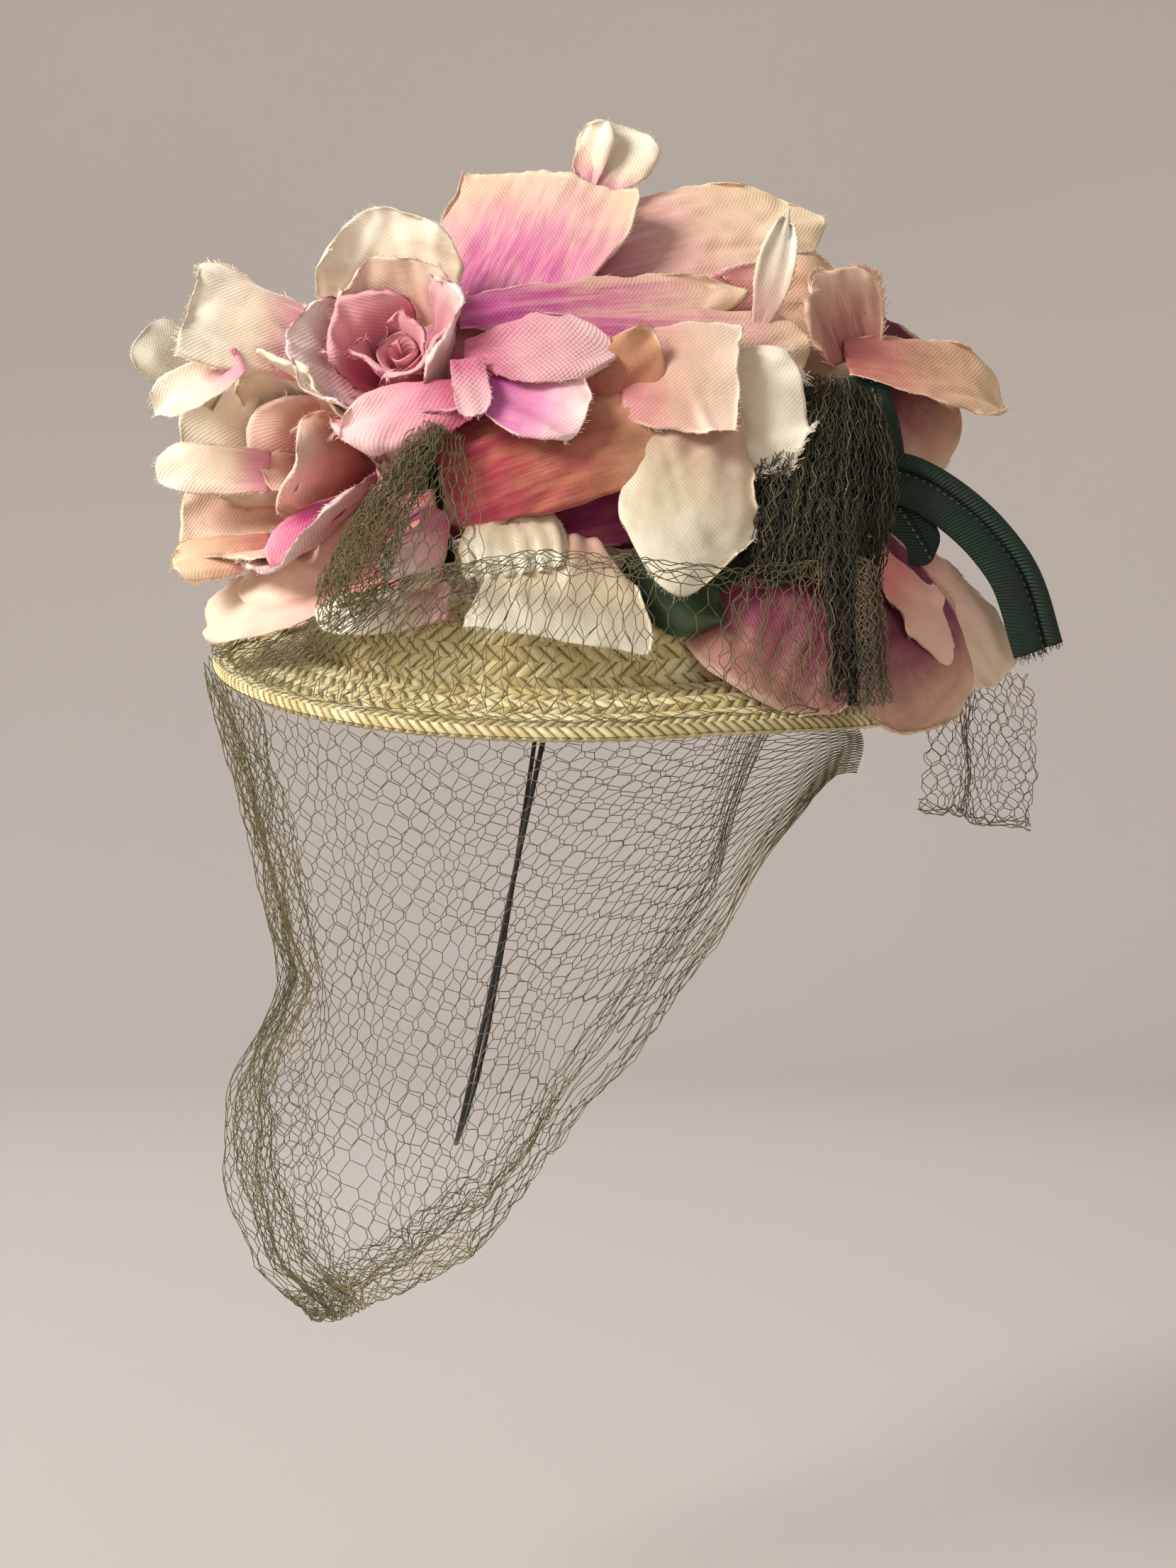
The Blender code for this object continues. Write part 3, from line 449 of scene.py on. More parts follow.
# Painted light: a lighter copy of the cream satin, for satin_mid where it lies in shade, and also used for
# satin_fold and under_strip.
LIT_SATIN = replace(SATIN, name="white_satin", base=(214, 164, 156), body=(226, 210, 186),
                    tip=(240, 232, 214), rim_width=0.06)
STREAKED = ClothFinish("streaked_cloth", (190, 98, 148), (214, 160, 152), (218, 188, 154),
                       streak=(180, 56, 128), reach=0.95, strength=0.92, inset=0.5, sheen=0.2)
CREST = replace(STREAKED, name="crest_cloth", base=(184, 84, 140), body=(214, 150, 158), tip=(222, 190, 160),
                streak=(186, 50, 138), reach=1.0, inset=0.6)
LONG = replace(STREAKED, name="long_cloth", base=(206, 134, 152), body=(224, 186, 162), tip=(226, 200, 164),
               streak=(192, 88, 138), reach=0.6, strength=0.65)
UNDER = ClothFinish("under_cloth", (186, 110, 110), (208, 164, 136), (220, 192, 160), streak=(176, 78, 110),
                    reach=0.6, strength=0.6, rim=(246, 242, 228), rim_width=0.05, rim_strength=0.5)
CUP = ClothFinish("magenta_cup_cloth", (198, 84, 160), (226, 142, 176), (242, 208, 204),
                  streak=(186, 64, 160), reach=0.7, strength=0.65, rim=CREAM_RIM, rim_width=0.06,
                  rim_gaps=0.2, stain=0.1)
VELVET = ClothFinish("velvet_cloth", (172, 68, 74), (180, 112, 84), (198, 148, 112), streak=(156, 38, 66),
                     reach=0.85, strength=0.9, rim=(236, 206, 178), rim_width=0.05, rim_strength=0.75,
                     weave=Weave.VELVET, roughness=0.85, sheen=0.7, grit=0.4)
MAROON = ClothFinish("maroon_cloth", (92, 20, 52), (138, 56, 80), (214, 172, 142), streak=(82, 12, 44),
                     reach=0.75, strength=0.85, rim=(228, 200, 166), rim_width=0.06, rim_strength=0.6)
# Painted shade: a copy of the maroon cloth with a darker tip, for back_skirt, whose tip lies in shade.
SHADED_MAROON = replace(MAROON, name="dusk_cloth", base=(84, 20, 48), body=(146, 66, 92), tip=(178, 128, 110),
               streak=(132, 30, 78), reach=0.9)
CURL = replace(MAROON, name="curl_cloth", base=(168, 96, 92), body=(204, 158, 134), tip=(220, 186, 158),
               streak=(150, 52, 84), reach=0.9, strength=0.7, inset=0.6)
THROAT = replace(MAROON, name="magenta_throat_cloth", base=(140, 20, 84), body=(196, 66, 126),
                 tip=(234, 150, 172), streak=(124, 12, 74))
TAN = ClothFinish("tan_cloth", (190, 110, 98), (216, 170, 138), (228, 196, 160), streak=(176, 84, 100),
                  reach=0.55, strength=0.5, rim=(240, 226, 198), rim_width=0.045)
ROSE_TAN = replace(TAN, name="rose_tan_cloth", base=(204, 108, 120), body=(226, 182, 164),
                   tip=(236, 208, 184), rim=BURGUNDY, rim_width=0.018, rim_gaps=0.45)
GREY = ClothFinish("grey_cloth", (160, 148, 128), (196, 188, 166), (214, 208, 188), streak=(150, 132, 112),
                   reach=0.3, strength=0.3, rim=(220, 212, 190), weave=Weave.PLAIN, pitch=1.0)
LEAF = ClothFinish("leaf_cloth", (18, 34, 20), (34, 54, 30), (58, 72, 42), streak=(14, 26, 16),
                   rim=(86, 86, 56), roughness=0.75, stain=0.0)
OLIVE = ThreadFinish("olive_net", (126, 118, 78), (66, 62, 38))
MOSS = ThreadFinish("moss_net", (128, 118, 74), (56, 52, 30))
# Painted shade: a darker copy of the olive net for the gathered bundle and column at the back, which lie in
# shade.
SHADED_NET = ThreadFinish("dark_net", (62, 57, 33), (22, 21, 12))
# Painted shade: near-black threads for the thick core strands that stand for the shade deep inside the
# gathered bundles.
SHADE_CORE_NET = ThreadFinish("black_net", (24, 26, 16), (10, 12, 8), sheen=0.0)
STRAND = ThreadFinish("pale_strand", (130, 118, 80), (66, 60, 38))
BAND_NET = ThreadFinish("band_net", (122, 108, 80), (66, 56, 40))
BROWN_NET = ThreadFinish("brown_net", (132, 118, 98), (86, 76, 62))
ELASTIC = ThreadFinish("black_elastic", (30, 27, 24), (14, 13, 12), roughness=0.5)

CLOTH_FINISHES = {"pink": PINK, "blush": BLUSH, "cream": CREAM, "streaked": STREAKED, "velvet": VELVET,
                  "maroon": MAROON, "leaf": LEAF}
OWN_FINISHES = {
    "pinch_strip": CANVAS, "canvas_petal": CANVAS, "magenta_cup": CUP, "magenta_throat": THROAT,
    "satin_large": SATIN, "satin_mid": LIT_SATIN, "satin_gather": SATIN, "satin_fold": LIT_SATIN,
    "satin_skirt": SATIN, "grey_tab": GREY, "right_wing": TAN, "rose_tan": ROSE_TAN, "fringe_tab": TAN,
    "blush_inner": SALMON, "rose_right": PALE_PINK, "rose_left": LIT_PINK, "blush_low": PALE_PINK,
    "bud": PALE_PINK, "streak_crest": CREST, "streak_under": UNDER, "right_curl": CURL,
    "blush_canopy": CANOPY, "satin_upper": TAN_SATIN, "velvet_lining": THROAT, "rose_lining": INNER_PINK,
    "right_lining": UNDER, "back_skirt": SHADED_MAROON, "streak_long": LONG, "under_strip": LIT_SATIN,
}
FRINGES = {"satin_mid": 3.4, "right_curl": 2.8, "fringe_tab": 2.2, "cream_wing": 1.9, "streak_under": 1.8,
           "under_strip": 1.7}
INNER = "heart_"


@cache
def material_of(finish: Any) -> Material:
    """The material of a finish, made once."""
    return finish.material()


@dataclass(frozen=True)
class Petal:
    """A fabric petal: its spine runs from base to tip, and its inner face looks along face.

    cup bends it across and bow along, both towards the face. neck and end are the widths at its two ends as
    shares of width, widest is where it is widest, fall rounds the end's corners off, roll turns its border
    away from the face, wave ruffles the border, and pleat is the share of the usual pleats in its cloth.
    """

    name: str
    cloth: str
    base: Triple
    tip: Triple
    face: Triple
    width: float
    cup: float = 30.0
    bow: float = 20.0
    neck: float = 0.4
    widest: float = 0.6
    end: float = 0.6
    fall: float = 0.14
    roll: float = 1.5
    wave: float = 1.5
    waves: float = 1.5
    pleat: float = 1.0

    @property
    def length(self) -> float:
        """The spine's length."""
        return (Vector(self.tip) - Vector(self.base)).length

    def half_width(self, along: float) -> float:
        """Half of the width at a share of the length."""
        if along < self.widest:
            turn = 0.5 * math.pi * max(0.0, along) / self.widest
            share = self.neck + (1.0 - self.neck) * math.sin(turn)
        else:
            past = (along - self.widest) / (1.0 - self.widest)
            share = self.end + (1.0 - self.end) * math.sqrt(max(0.0, 1.0 - min(1.0, past) ** 2))
        return 0.5 * self.width * share

    def point(self, across: float, along: float) -> tuple[Vector, Vector]:
        """A place on the petal's middle surface.

        Args:
            across: from -1 at one side to 1 at the other.
            along: from 0 at the base to 1 at the tip.

        Returns:
            The place, and the direction in which the face looks there.
        """
        base = Vector(self.base)
        spine = Vector(self.tip) - base
        length = spine.length
        spine.normalize()
        face = Vector(self.face)
        face = (face - face.dot(spine) * spine).normalized()
        side = spine.cross(face)
        reach = along - self.fall * across ** 2 * min(1.0, max(0.0, along)) ** 3
        half = self.half_width(along)
        half_bow = 0.5 * math.radians(self.bow)
        turn = math.radians(self.bow) * (reach - 0.5)
        ray = 0.5 * length / math.sin(half_bow)
        place = base + spine * (ray * (math.sin(turn) + math.sin(half_bow)))
        place -= face * (ray * (math.cos(turn) - math.cos(half_bow)))
        out = face * math.cos(turn) - spine * math.sin(turn)
        arc = math.radians(self.cup)
        bend = half / (0.5 * arc)
        place += side * (bend * math.sin(0.5 * arc * across))
        rise = bend * (1.0 - math.cos(0.5 * arc * across))
        flank = ease((abs(across) - 0.55) / 0.45) * ease(along / 0.4)
        border = max(ease((along - 0.6) / 0.4), flank)
        swell = math.sin(math.pi * self.waves * across + 0.7 * (self.base[0] + self.tip[2]))
        rise += self.wave * swell * ease(along) * max(0.35, border) - self.roll * border ** 2
        leaning = (out * math.cos(0.5 * arc * across) - side * math.sin(0.5 * arc * across)).normalized()
        return place + out * rise, leaning


@dataclass(frozen=True)
class RosePetal:
    """A petal of a rose by its place round the rose's axis, clockwise from the top as one looks into it."""

    name: str
    cloth: str
    turn: float
    radius: float
    length: float
    lean: float
    width: float
    cup: float
    bow: float = 25.0
    roll: float = 2.0


@dataclass(frozen=True)
class Rose:
    """A rose: the middle of its foot, where its stem stands, the way it looks, and its petals outwards."""

    name: str
    foot: Triple
    root: Triple
    axis: Triple
    petals: tuple[RosePetal, ...]

    def petal(self, row: RosePetal) -> Petal:
        """The petal that a row of the rose's table stands for."""
        axis = Vector(self.axis).normalized()
        top = (Vector((0.0, 0.0, 1.0)) - axis.z * axis).normalized()
        turn = math.radians(row.turn)
        outward = top * math.cos(turn) + top.cross(axis) * math.sin(turn)
        lean = math.radians(row.lean)
        base = Vector(self.foot) + outward * (0.5 * row.radius) + axis * (0.1 * row.radius)
        rise = (axis * math.cos(lean) + outward * math.sin(lean)) * row.length
        tip = base + outward * (0.5 * row.radius) + rise
        return Petal(row.name, row.cloth, tuple(base), tuple(tip), tuple(-outward), row.width, cup=row.cup,
                     bow=row.bow, neck=0.5, widest=0.6, end=0.65, fall=0.16, roll=row.roll)


PINK_ROSE = Rose("pink_rose", (26.0, -45.0, 47.0), (18.0, -36.0, -6.0), (0.84, -0.22, 0.48), (
    RosePetal("rose_tan", "blush", 350.0, 12.0, 36.0, 20.0, 42.0, 95.0),
    RosePetal("rose_right", "pink", 85.0, 13.0, 40.0, 12.0, 46.0, 110.0),
    RosePetal("rose_left", "pink", 250.0, 14.0, 38.0, 22.0, 54.0, 105.0),
    RosePetal("rose_low", "pink", 180.0, 17.0, 30.0, 30.0, 40.0, 80.0),
    RosePetal("rose_crest", "cream", 345.0, 19.0, 42.0, 34.0, 48.0, 80.0),
))
# Painted shade: a deep pink lining petal behind the pink rose, standing in for the shade in the rose's depth.
ROSE_SHADE_LINING = RosePetal("rose_lining", "pink", 126.0, 16.0, 34.0, 30.0, 44.0, 80.0)
BLUSH_ROSE = Rose("blush_rose", (16.0, -62.0, 25.0), (10.0, -55.0, -8.0), (0.68, -0.72, 0.14), (
    RosePetal("blush_inner", "pink", 116.0, 12.0, 42.0, 8.0, 40.0, 120.0),
    RosePetal("blush_canopy", "blush", 12.0, 15.0, 46.0, 12.0, 56.0, 100.0),
    RosePetal("blush_side", "cream", 285.0, 17.0, 48.0, 16.0, 44.0, 85.0),
    RosePetal("blush_cup", "blush", 218.0, 19.0, 48.0, 22.0, 56.0, 88.0),
    RosePetal("blush_low", "pink", 160.0, 19.0, 44.0, 26.0, 54.0, 80.0),
))
HEART_PETALS = (
    RosePetal("heart_a", "pink", 40.0, 4.0, 31.0, 3.0, 24.0, 140.0),
    RosePetal("heart_b", "pink", 220.0, 6.0, 32.0, 6.0, 28.0, 130.0),
    RosePetal("heart_c", "pink", 128.0, 9.0, 34.0, 8.0, 34.0, 128.0, roll=3.0),
    RosePetal("heart_d", "pink", 300.0, 11.0, 33.0, 10.0, 38.0, 122.0, roll=3.5),
)
PETALS = (
    Petal("pinch_strip", "pink", (66, -29, 52), (73, -26, 34), (1.0, 0.0, 0.1), 11, cup=15, bow=5,
          neck=0.9, end=0.7, roll=0.0, wave=0.5),
    Petal("canvas_petal", "pink", (60, -30, 55), (62, 15, 55), (0.9, 0.1, 0.45), 25, cup=30, bow=-12,
          neck=0.35, widest=0.5, end=0.25),
    Petal("magenta_cup", "pink", (64, -28, 45), (72, 6, 37), (0.85, -0.1, 0.5), 28, cup=45, bow=22,
          neck=0.45, end=0.7),
    Petal("lower_curl", "pink", (64, -27, 42), (65, -66, 31), (0.9, 0.0, 0.3), 22, cup=-40, bow=-15,
          neck=0.5, widest=0.5, end=0.55),
    Petal("velvet_petal", "velvet", (62, -36, 18), (60, 28, 40), (0.9, -0.1, 0.35), 46, cup=-55, bow=-24,
          neck=0.7, widest=0.55, end=0.75, fall=0.1),
    Petal("satin_large", "cream", (54, 39, 42), (75, 30, -16), (0.95, 0.2, 0.2), 43, cup=-25, bow=-10,
          neck=0.5, widest=0.66, end=0.7, fall=0.35, wave=1.0, pleat=0.2),
    Petal("satin_upper", "blush", (56, 16, 49), (59, 50, 47), (0.95, 0.1, 0.3), 37, cup=15, bow=-8,
          neck=0.8, end=0.95, fall=0.03, roll=0.5, pleat=0.4),
    Petal("satin_mid", "cream", (47, 33, 38), (53, 70, 40), (0.95, 0.25, 0.1), 42, cup=20, bow=-4,
          neck=0.7, end=0.65, pleat=0.3),
    Petal("streak_fold", "streaked", (40, -33, 69), (30, 54, 78), (0.92, 0.0, 0.35), 20, cup=25, bow=8,
          neck=0.6, widest=0.5, end=0.5),
    Petal("streak_low", "streaked", (41, -22, 57), (35, 73, 61), (0.95, 0.1, 0.25), 30, cup=-25, bow=-8,
          neck=0.5, end=0.6, fall=0.08),
    Petal("streak_crest", "streaked", (27, -27, 66), (5, -5, 119), (0.8, -0.35, 0.35), 66, cup=14, bow=20,
          neck=0.4, widest=0.75, end=0.93, fall=0.06),
    Petal("streak_long", "streaked", (15, -6, 84), (4, 78, 104), (0.85, 0.0, 0.5), 52, cup=-20, bow=-14,
          neck=0.6, widest=0.45, end=0.3, fall=0.1),
    Petal("streak_under", "blush", (20, 38, 62), (26, 86, 62), (0.95, 0.2, 0.1), 60, cup=15, bow=10,
          neck=0.7, end=0.7),
    Petal("crest_fluff", "cream", (7, 6, 112), (-4, 20, 135), (0.9, 0.0, 0.3), 26, cup=40, bow=10,
          neck=0.5, end=0.8, waves=1.2),
    Petal("right_curl", "maroon", (25, 84, 58), (34, 77, 84), (0.8, 0.5, 0.1), 34, cup=85, bow=20,
          neck=0.6, end=0.7),
    Petal("right_wing", "blush", (30, 82, 57), (10, 134, 48), (0.8, 0.2, 0.6), 30, cup=40, bow=-30,
          neck=0.5, widest=0.75, end=0.7),
    Petal("right_shard", "maroon", (24, 86, 71), (6, 116, 28), (0.9, 0.3, 0.1), 34, cup=20, bow=10),
    Petal("cream_wing", "cream", (34, -76, 60), (44, -112, 72), (0.85, -0.1, 0.5), 36, cup=-15, bow=-10,
          neck=0.7, widest=0.8, end=0.95, fall=0.02, roll=0.5),
    Petal("grey_tab", "cream", (26, -103, 49), (34, -128, 64), (0.95, 0.0, 0.3), 21, cup=15, bow=8,
          neck=0.8, end=0.85),
    Petal("white_fold", "cream", (47, -95, 54), (44, -122, 40), (0.9, -0.3, 0.3), 17, cup=70, bow=5,
          neck=0.6, end=0.7, roll=0.0),
    Petal("small_cream", "cream", (30, -89, 24), (35, -123, 26), (0.9, -0.2, 0.3), 17, cup=20, bow=8,
          neck=0.8, end=0.8),
    Petal("fringe_tab", "blush", (36, -88, 1), (38, -118, -3), (0.8, -0.2, 0.5), 16, cup=-25, bow=-10,
          neck=0.8, end=0.7),
    Petal("magenta_throat", "maroon", (50, -60, 12), (50, -88, -5), (0.85, -0.1, 0.5), 20, cup=110, bow=10,
          neck=0.5, end=0.6, roll=0.0),
    Petal("peach_skirt", "blush", (54, -44, -6), (27, -111, -20), (0.75, -0.3, 0.6), 27, cup=-20, bow=-16,
          neck=0.8, widest=0.5, end=0.65, fall=0.05),
    Petal("bud", "pink", (62, -38, 10), (70, -50, -14), (0.95, -0.2, 0.1), 22, cup=-120, bow=-30,
          neck=0.6, end=0.5),
    Petal("satin_gather", "cream", (62, -18, 12), (74, -14, -11), (0.95, 0.0, 0.3), 32, cup=-30, bow=-20,
          neck=0.8, end=0.9, wave=1.8, waves=6.0),
    Petal("satin_fold", "cream", (66, -34, -17), (56, -74, -20), (0.9, -0.2, 0.4), 16, cup=15, bow=8,
          neck=0.8, end=0.7),
    Petal("satin_skirt", "cream", (62, 1, 2), (79, -3, -29), (0.93, 0.1, 0.35), 54, cup=-12, bow=-10,
          neck=0.3, widest=0.85, end=1.0, fall=0.02, roll=0.3, wave=0.6, pleat=0.5),
    Petal("back_skirt", "maroon", (46, 76, 0), (70, 52, -45), (0.9, 0.1, 0.4), 54, cup=-25, bow=-14,
          neck=0.4, widest=0.65, end=0.85),
    Petal("back_fall", "maroon", (40, 86, 2), (40, 108, -54), (0.9, 0.35, 0.1), 46, cup=40, bow=16,
          neck=0.4, end=0.7),
    Petal("back_shell", "blush", (41, 89, 4), (18, 134, -36), (0.8, 0.5, 0.35), 38, cup=-35, bow=-14,
          neck=0.4, end=0.6),
    Petal("far_crest", "streaked", (10, -8, 86), (-52, -16, 92), (-0.3, 0.0, 0.95), 56, cup=-20, bow=-20,
          neck=0.5, end=0.8),
    Petal("far_front", "pink", (-8, -40, 6), (-36, -68, 60), (-0.8, -0.4, 0.4), 58, cup=-30, bow=-24),
    Petal("far_side", "cream", (-16, -8, 4), (-48, -10, 66), (-0.9, 0.0, 0.4), 64, cup=-30, bow=-24),
    Petal("far_back", "streaked", (-12, 30, 4), (-42, 52, 58), (-0.8, 0.4, 0.4), 60, cup=-30, bow=-24),
    Petal("far_skirt", "maroon", (-20, 63, 1), (-42, 128, -20), (-0.3, 0.3, 0.9), 46, cup=-20, bow=-20),
    Petal("leaf_low", "leaf", (58, 14, -8), (66, 45, -22), (0.9, 0.2, 0.3), 22, cup=-20, bow=-8, neck=0.6,
          end=0.2),
)
LININGS = (
    (Petal("crest_strip", "cream", (6, 4, 112), (1, 10, 136), (0.9, -0.45, 0.0), 12, cup=60, bow=14,
           neck=0.7, end=0.6), "crest_fluff"),
    (Petal("far_front_b", "blush", (4, -40, 6), (-12, -68, 52), (-0.3, -0.9, 0.3), 52, cup=-25, bow=-24),
     "far_front"),
    (Petal("far_front_c", "cream", (-8, -30, 8), (-30, -44, 52), (-0.6, -0.7, 0.4), 46, cup=25, bow=-20),
     "far_front"),
    (Petal("far_front_d", "leaf", (12, -48, -3), (12, -70, 16), (-0.2, -1.0, 0.3), 36, cup=-50, bow=-20,
           end=0.3), "far_front"),
    (Petal("far_side_b", "pink", (-8, 4, 30), (-34, 12, 84), (-0.8, 0.0, 0.4), 54, cup=-25, bow=-20),
     "far_side"),
    (Petal("far_side_c", "streaked", (8, -18, 40), (-22, -32, 86), (-0.6, -0.5, 0.5), 54, cup=-20, bow=-24),
     "far_side"),
    (Petal("far_back_b", "cream", (-4, 40, 8), (-28, 68, 56), (-0.5, 0.6, 0.5), 52, cup=-30, bow=-24),
     "far_back"),
    (Petal("far_back_c", "pink", (12, 58, 20), (-8, 88, 56), (-0.3, 0.8, 0.4), 48, cup=-25, bow=-24),
     "far_back"),
    (Petal("far_crest_b", "blush", (10, 18, 56), (-24, 34, 88), (-0.7, 0.1, 0.7), 54, cup=-20, bow=-20),
     "far_crest"),
    (Petal("far_skirt_b", "maroon", (-6, 22, 4), (-42, 22, 34), (-0.5, 0.0, 0.9), 50, cup=-25, bow=-30),
     "far_side"),
    (Petal("velvet_tip", "velvet", (52, 4, 20), (62, 23, 62), (0.95, 0.1, 0.15), 30, cup=-55, bow=-10,
           neck=1.0, widest=0.3, end=0.4), "velvet_petal"),
    (Petal("under_strip", "cream", (34, 56, 66), (28, 65, 102), (0.95, 0.2, 0.1), 12, cup=30, bow=-16,
           neck=0.3, widest=0.45, end=0.15, roll=0.0, wave=1.8, waves=2.4, pleat=0.6), "streak_under"),
    (Petal("leaf_tip", "leaf", (24, 88, 60), (16, 91, 80), (0.9, 0.3, 0.1), 11, cup=30, bow=5, neck=0.7,
           end=0.3), "right_shard"),
    (Petal("velvet_lining", "maroon", (50, -14, 8), (50, 36, 20), (0.95, 0.0, 0.2), 30, cup=20, bow=8,
           neck=0.8, end=0.8), "velvet_petal"),
    (Petal("skirt_lining", "blush", (50, -38, 4), (33, -99, -11), (0.85, -0.25, 0.4), 40, cup=-25, bow=-12,
           neck=0.8, widest=0.5, end=0.7), "peach_skirt"),
    (Petal("streak_lining", "streaked", (38, -52, 46), (36, -8, 62), (0.95, 0.0, 0.2), 34, cup=15, bow=6,
           neck=0.9, end=0.9), "streak_low"),
    (Petal("leaf_lining", "leaf", (46, 34, 16), (57, 68, -18), (0.95, 0.1, 0.2), 34, cup=20, bow=8, neck=0.7,
           end=0.7), "leaf_low"),
    (Petal("right_lining", "blush", (14, 46, 40), (14, 84, 30), (0.95, 0.2, 0.1), 44, cup=20, bow=8, neck=0.8,
           end=0.8), "streak_under"),
)
WHOLE = ("crest_fluff", "satin_large", "back_fall", "back_shell", "satin_upper", "satin_mid", "streak_crest",
         "peach_skirt", "streak_long", "satin_fold", "satin_skirt", "back_skirt", "leaf_low", "far_crest")


def smooth_shape(name: str, base: Triple, tip: Triple, face: Triple, width: float, **bends: float) -> Petal:
    """The shape of a bundle of net or a length of ribbon: a petal's, with no ruffled or rolled border."""
    return Petal(name, "", base, tip, face, width, roll=0.0, wave=0.0, **bends)


FRONT_SHEAF = smooth_shape("veil_gather_front", (67, -38, 34), (74, -68, -26), (0.93, -0.25, 0.27), 19,
                           cup=-50, bow=-14, neck=0.4, widest=0.85, end=0.95)
FRONT_NET = smooth_shape("veil_gather_loose", (66, -34, 32), (77, -52, -26), (0.93, -0.25, 0.27), 48,
                         cup=-40, bow=-12, neck=0.2, widest=0.85, end=0.95)
BACK_SHEAF = smooth_shape("veil_gather_back", (39, 80, 50), (65, 68, -11), (0.95, 0.2, 0.25), 44,
                          cup=-50, bow=-12, neck=0.56, widest=0.5, end=0.88, fall=0.02)
BACK_COLUMN = smooth_shape("veil_gather_column", (60, 79, 14), (71, 80, -47), (0.95, 0.3, 0.1), 15,
                           cup=-60, bow=-8, neck=0.9, widest=0.4, end=0.7, fall=0.0)
BACK_BAND = smooth_shape("veil_gather_band", (63, 84, -4), (71, 87, -47), (0.95, 0.3, 0.1), 8,
                         cup=-60, bow=-8, neck=0.4, end=0.9, fall=0.0)
SKIRT_STRANDS = smooth_shape("veil_gather_skirt", (61, 68, 4), (77, 58, -46), (0.95, 0.1, 0.3), 36,
                             cup=-30, bow=-10, neck=0.6, widest=0.8, end=0.95, fall=0.0)
RIBBON_RUN = smooth_shape("ribbon_run", (33, 88, 52), (34, 93, 16), (0.95, 0.3, 0.1), 17,
                          cup=-30, bow=-4, neck=0.8, end=0.9)
RIBBON_KNOT = smooth_shape("ribbon_knot", (32, 88, 25), (35.5, 106, -4), (0.95, 0.3, 0.1), 18,
                           cup=-30, bow=-10, neck=0.9, end=0.8)


def add_piece(work: Work, name: str, *finishes: Any, wall: float = 0.0) -> Piece:
    """Makes a piece.

    Args:
        work: its mesh in millimetres, freed here.
        name: the piece's name.
        finishes: its finishes, in the order of the faces' numbers.
        wall: the wall that an open cloth is given, half of it on either side.

    Returns:
        The object, linked to the scene.
    """
    bmesh.ops.scale(work, vec=(MM, MM, MM), verts=work.verts)
    for face in work.faces:
        face.smooth = True
    mesh = bpy.data.meshes.new(name)
    work.to_mesh(mesh)
    work.free()
    for finish in finishes:
        mesh.materials.append(material_of(finish))
    made = bpy.data.objects.new(name, mesh)
    bpy.context.scene.collection.objects.link(made)
    if wall:
        shell = made.modifiers.new("wall", "SOLIDIFY")
        shell.thickness = wall * MM
        shell.offset = 0.0
    return made


def settled_mesh(made: Piece) -> bpy.types.Mesh:
    """The mesh that the object's modifiers or curve make."""
    graph = bpy.context.evaluated_depsgraph_get()
    return bpy.data.meshes.new_from_object(made.evaluated_get(graph))


def hand_over(made: Piece, slot: str, node: str) -> Piece:
    """Makes the piece ride on the hat and stand for the node, and reports it."""
    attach(made, "root")
    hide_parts(node)
    log.info("%s: %d faces", made.name, len(made.data.polygons))
    return made


def add_threads(work: Work, threads: Iterable[Thread], diameter: float, number: int = 0,
                roundness: int = 0) -> None:
    """Adds thin round threads to a mesh in millimetres.

    Args:
        work: the mesh.
        threads: the threads' points.
        diameter: their thickness.
        number: which of the piece's finishes they have.
        roundness: the curve's bevel resolution; none makes four-sided threads.
    """
    curve = bpy.data.curves.new("threads", "CURVE")
    curve.dimensions = "3D"
    curve.bevel_depth = 0.5 * diameter
    curve.bevel_resolution = roundness
    for thread in threads:
        if len(thread) < 2:
            continue
        spline = curve.splines.new("POLY")
        spline.points.add(len(thread) - 1)
        for point, place in zip(spline.points, thread):
            point.co = (place.x, place.y, place.z, 1.0)
    holder = bpy.data.objects.new("threads", curve)
    bpy.context.scene.collection.objects.link(holder)
    mesh = settled_mesh(holder)
    bpy.data.objects.remove(holder)
    bpy.data.curves.remove(curve)
    before = len(work.faces)
    work.from_mesh(mesh)
    work.faces.ensure_lookup_table()
    for face in work.faces[before:]:
        face.material_index = number
    bpy.data.meshes.remove(mesh)


def frayed_thread(start: Vector, away: Vector, stray: Vector, length: float, root: float,
                  bend: float) -> Thread:
    """A short cut thread from root under the cloth's edge, which strays, at first by the share bend."""
    middle = start + (away + bend * stray) * (0.5 * length)
    return [start - away * root, middle, middle + (away + stray) * (0.5 * length)]


def chance_vector(dice: random.Random) -> Vector:
    """A random vector, of about 1 each way."""
    return Vector([dice.gauss(0, 1) for _ in range(3)])


def shares(across: float, along: float) -> Pair:
    """A map that gives the two shares themselves."""
    return across, along


def run_length(places: Sequence[Vector]) -> float:
    """The length of the line through the places."""
    return sum((after - place).length for place, after in zip(places, places[1:]))


def surface_grid(surface: Surface, columns: int, rows: int,
                 **layers: Callable[[float, float], Pair]) -> Work:
    """A grid laid on a surface, with UV maps.

    Args:
        surface: the place in millimetres of two shares from 0 to 1.
        columns: cells one way.
        rows: cells the other way.
        layers: the UV maps, each a function of the same shares.

    Returns:
        The grid.
    """
    work = bmesh.new()
    bmesh.ops.create_grid(work, x_segments=columns, y_segments=rows, size=1.0)
    spots = {v: (0.5 * (v.co.x + 1.0), 0.5 * (v.co.y + 1.0)) for v in work.verts}
    for name, read in layers.items():
        layer = work.loops.layers.uv.new(name)
        for face in work.faces:
            for loop in face.loops:
                loop[layer].uv = read(*spots[loop.vert])
    for vertex, (across, along) in spots.items():
        vertex.co = surface(across, along)
    bmesh.ops.recalc_face_normals(work, faces=work.faces)
    return work


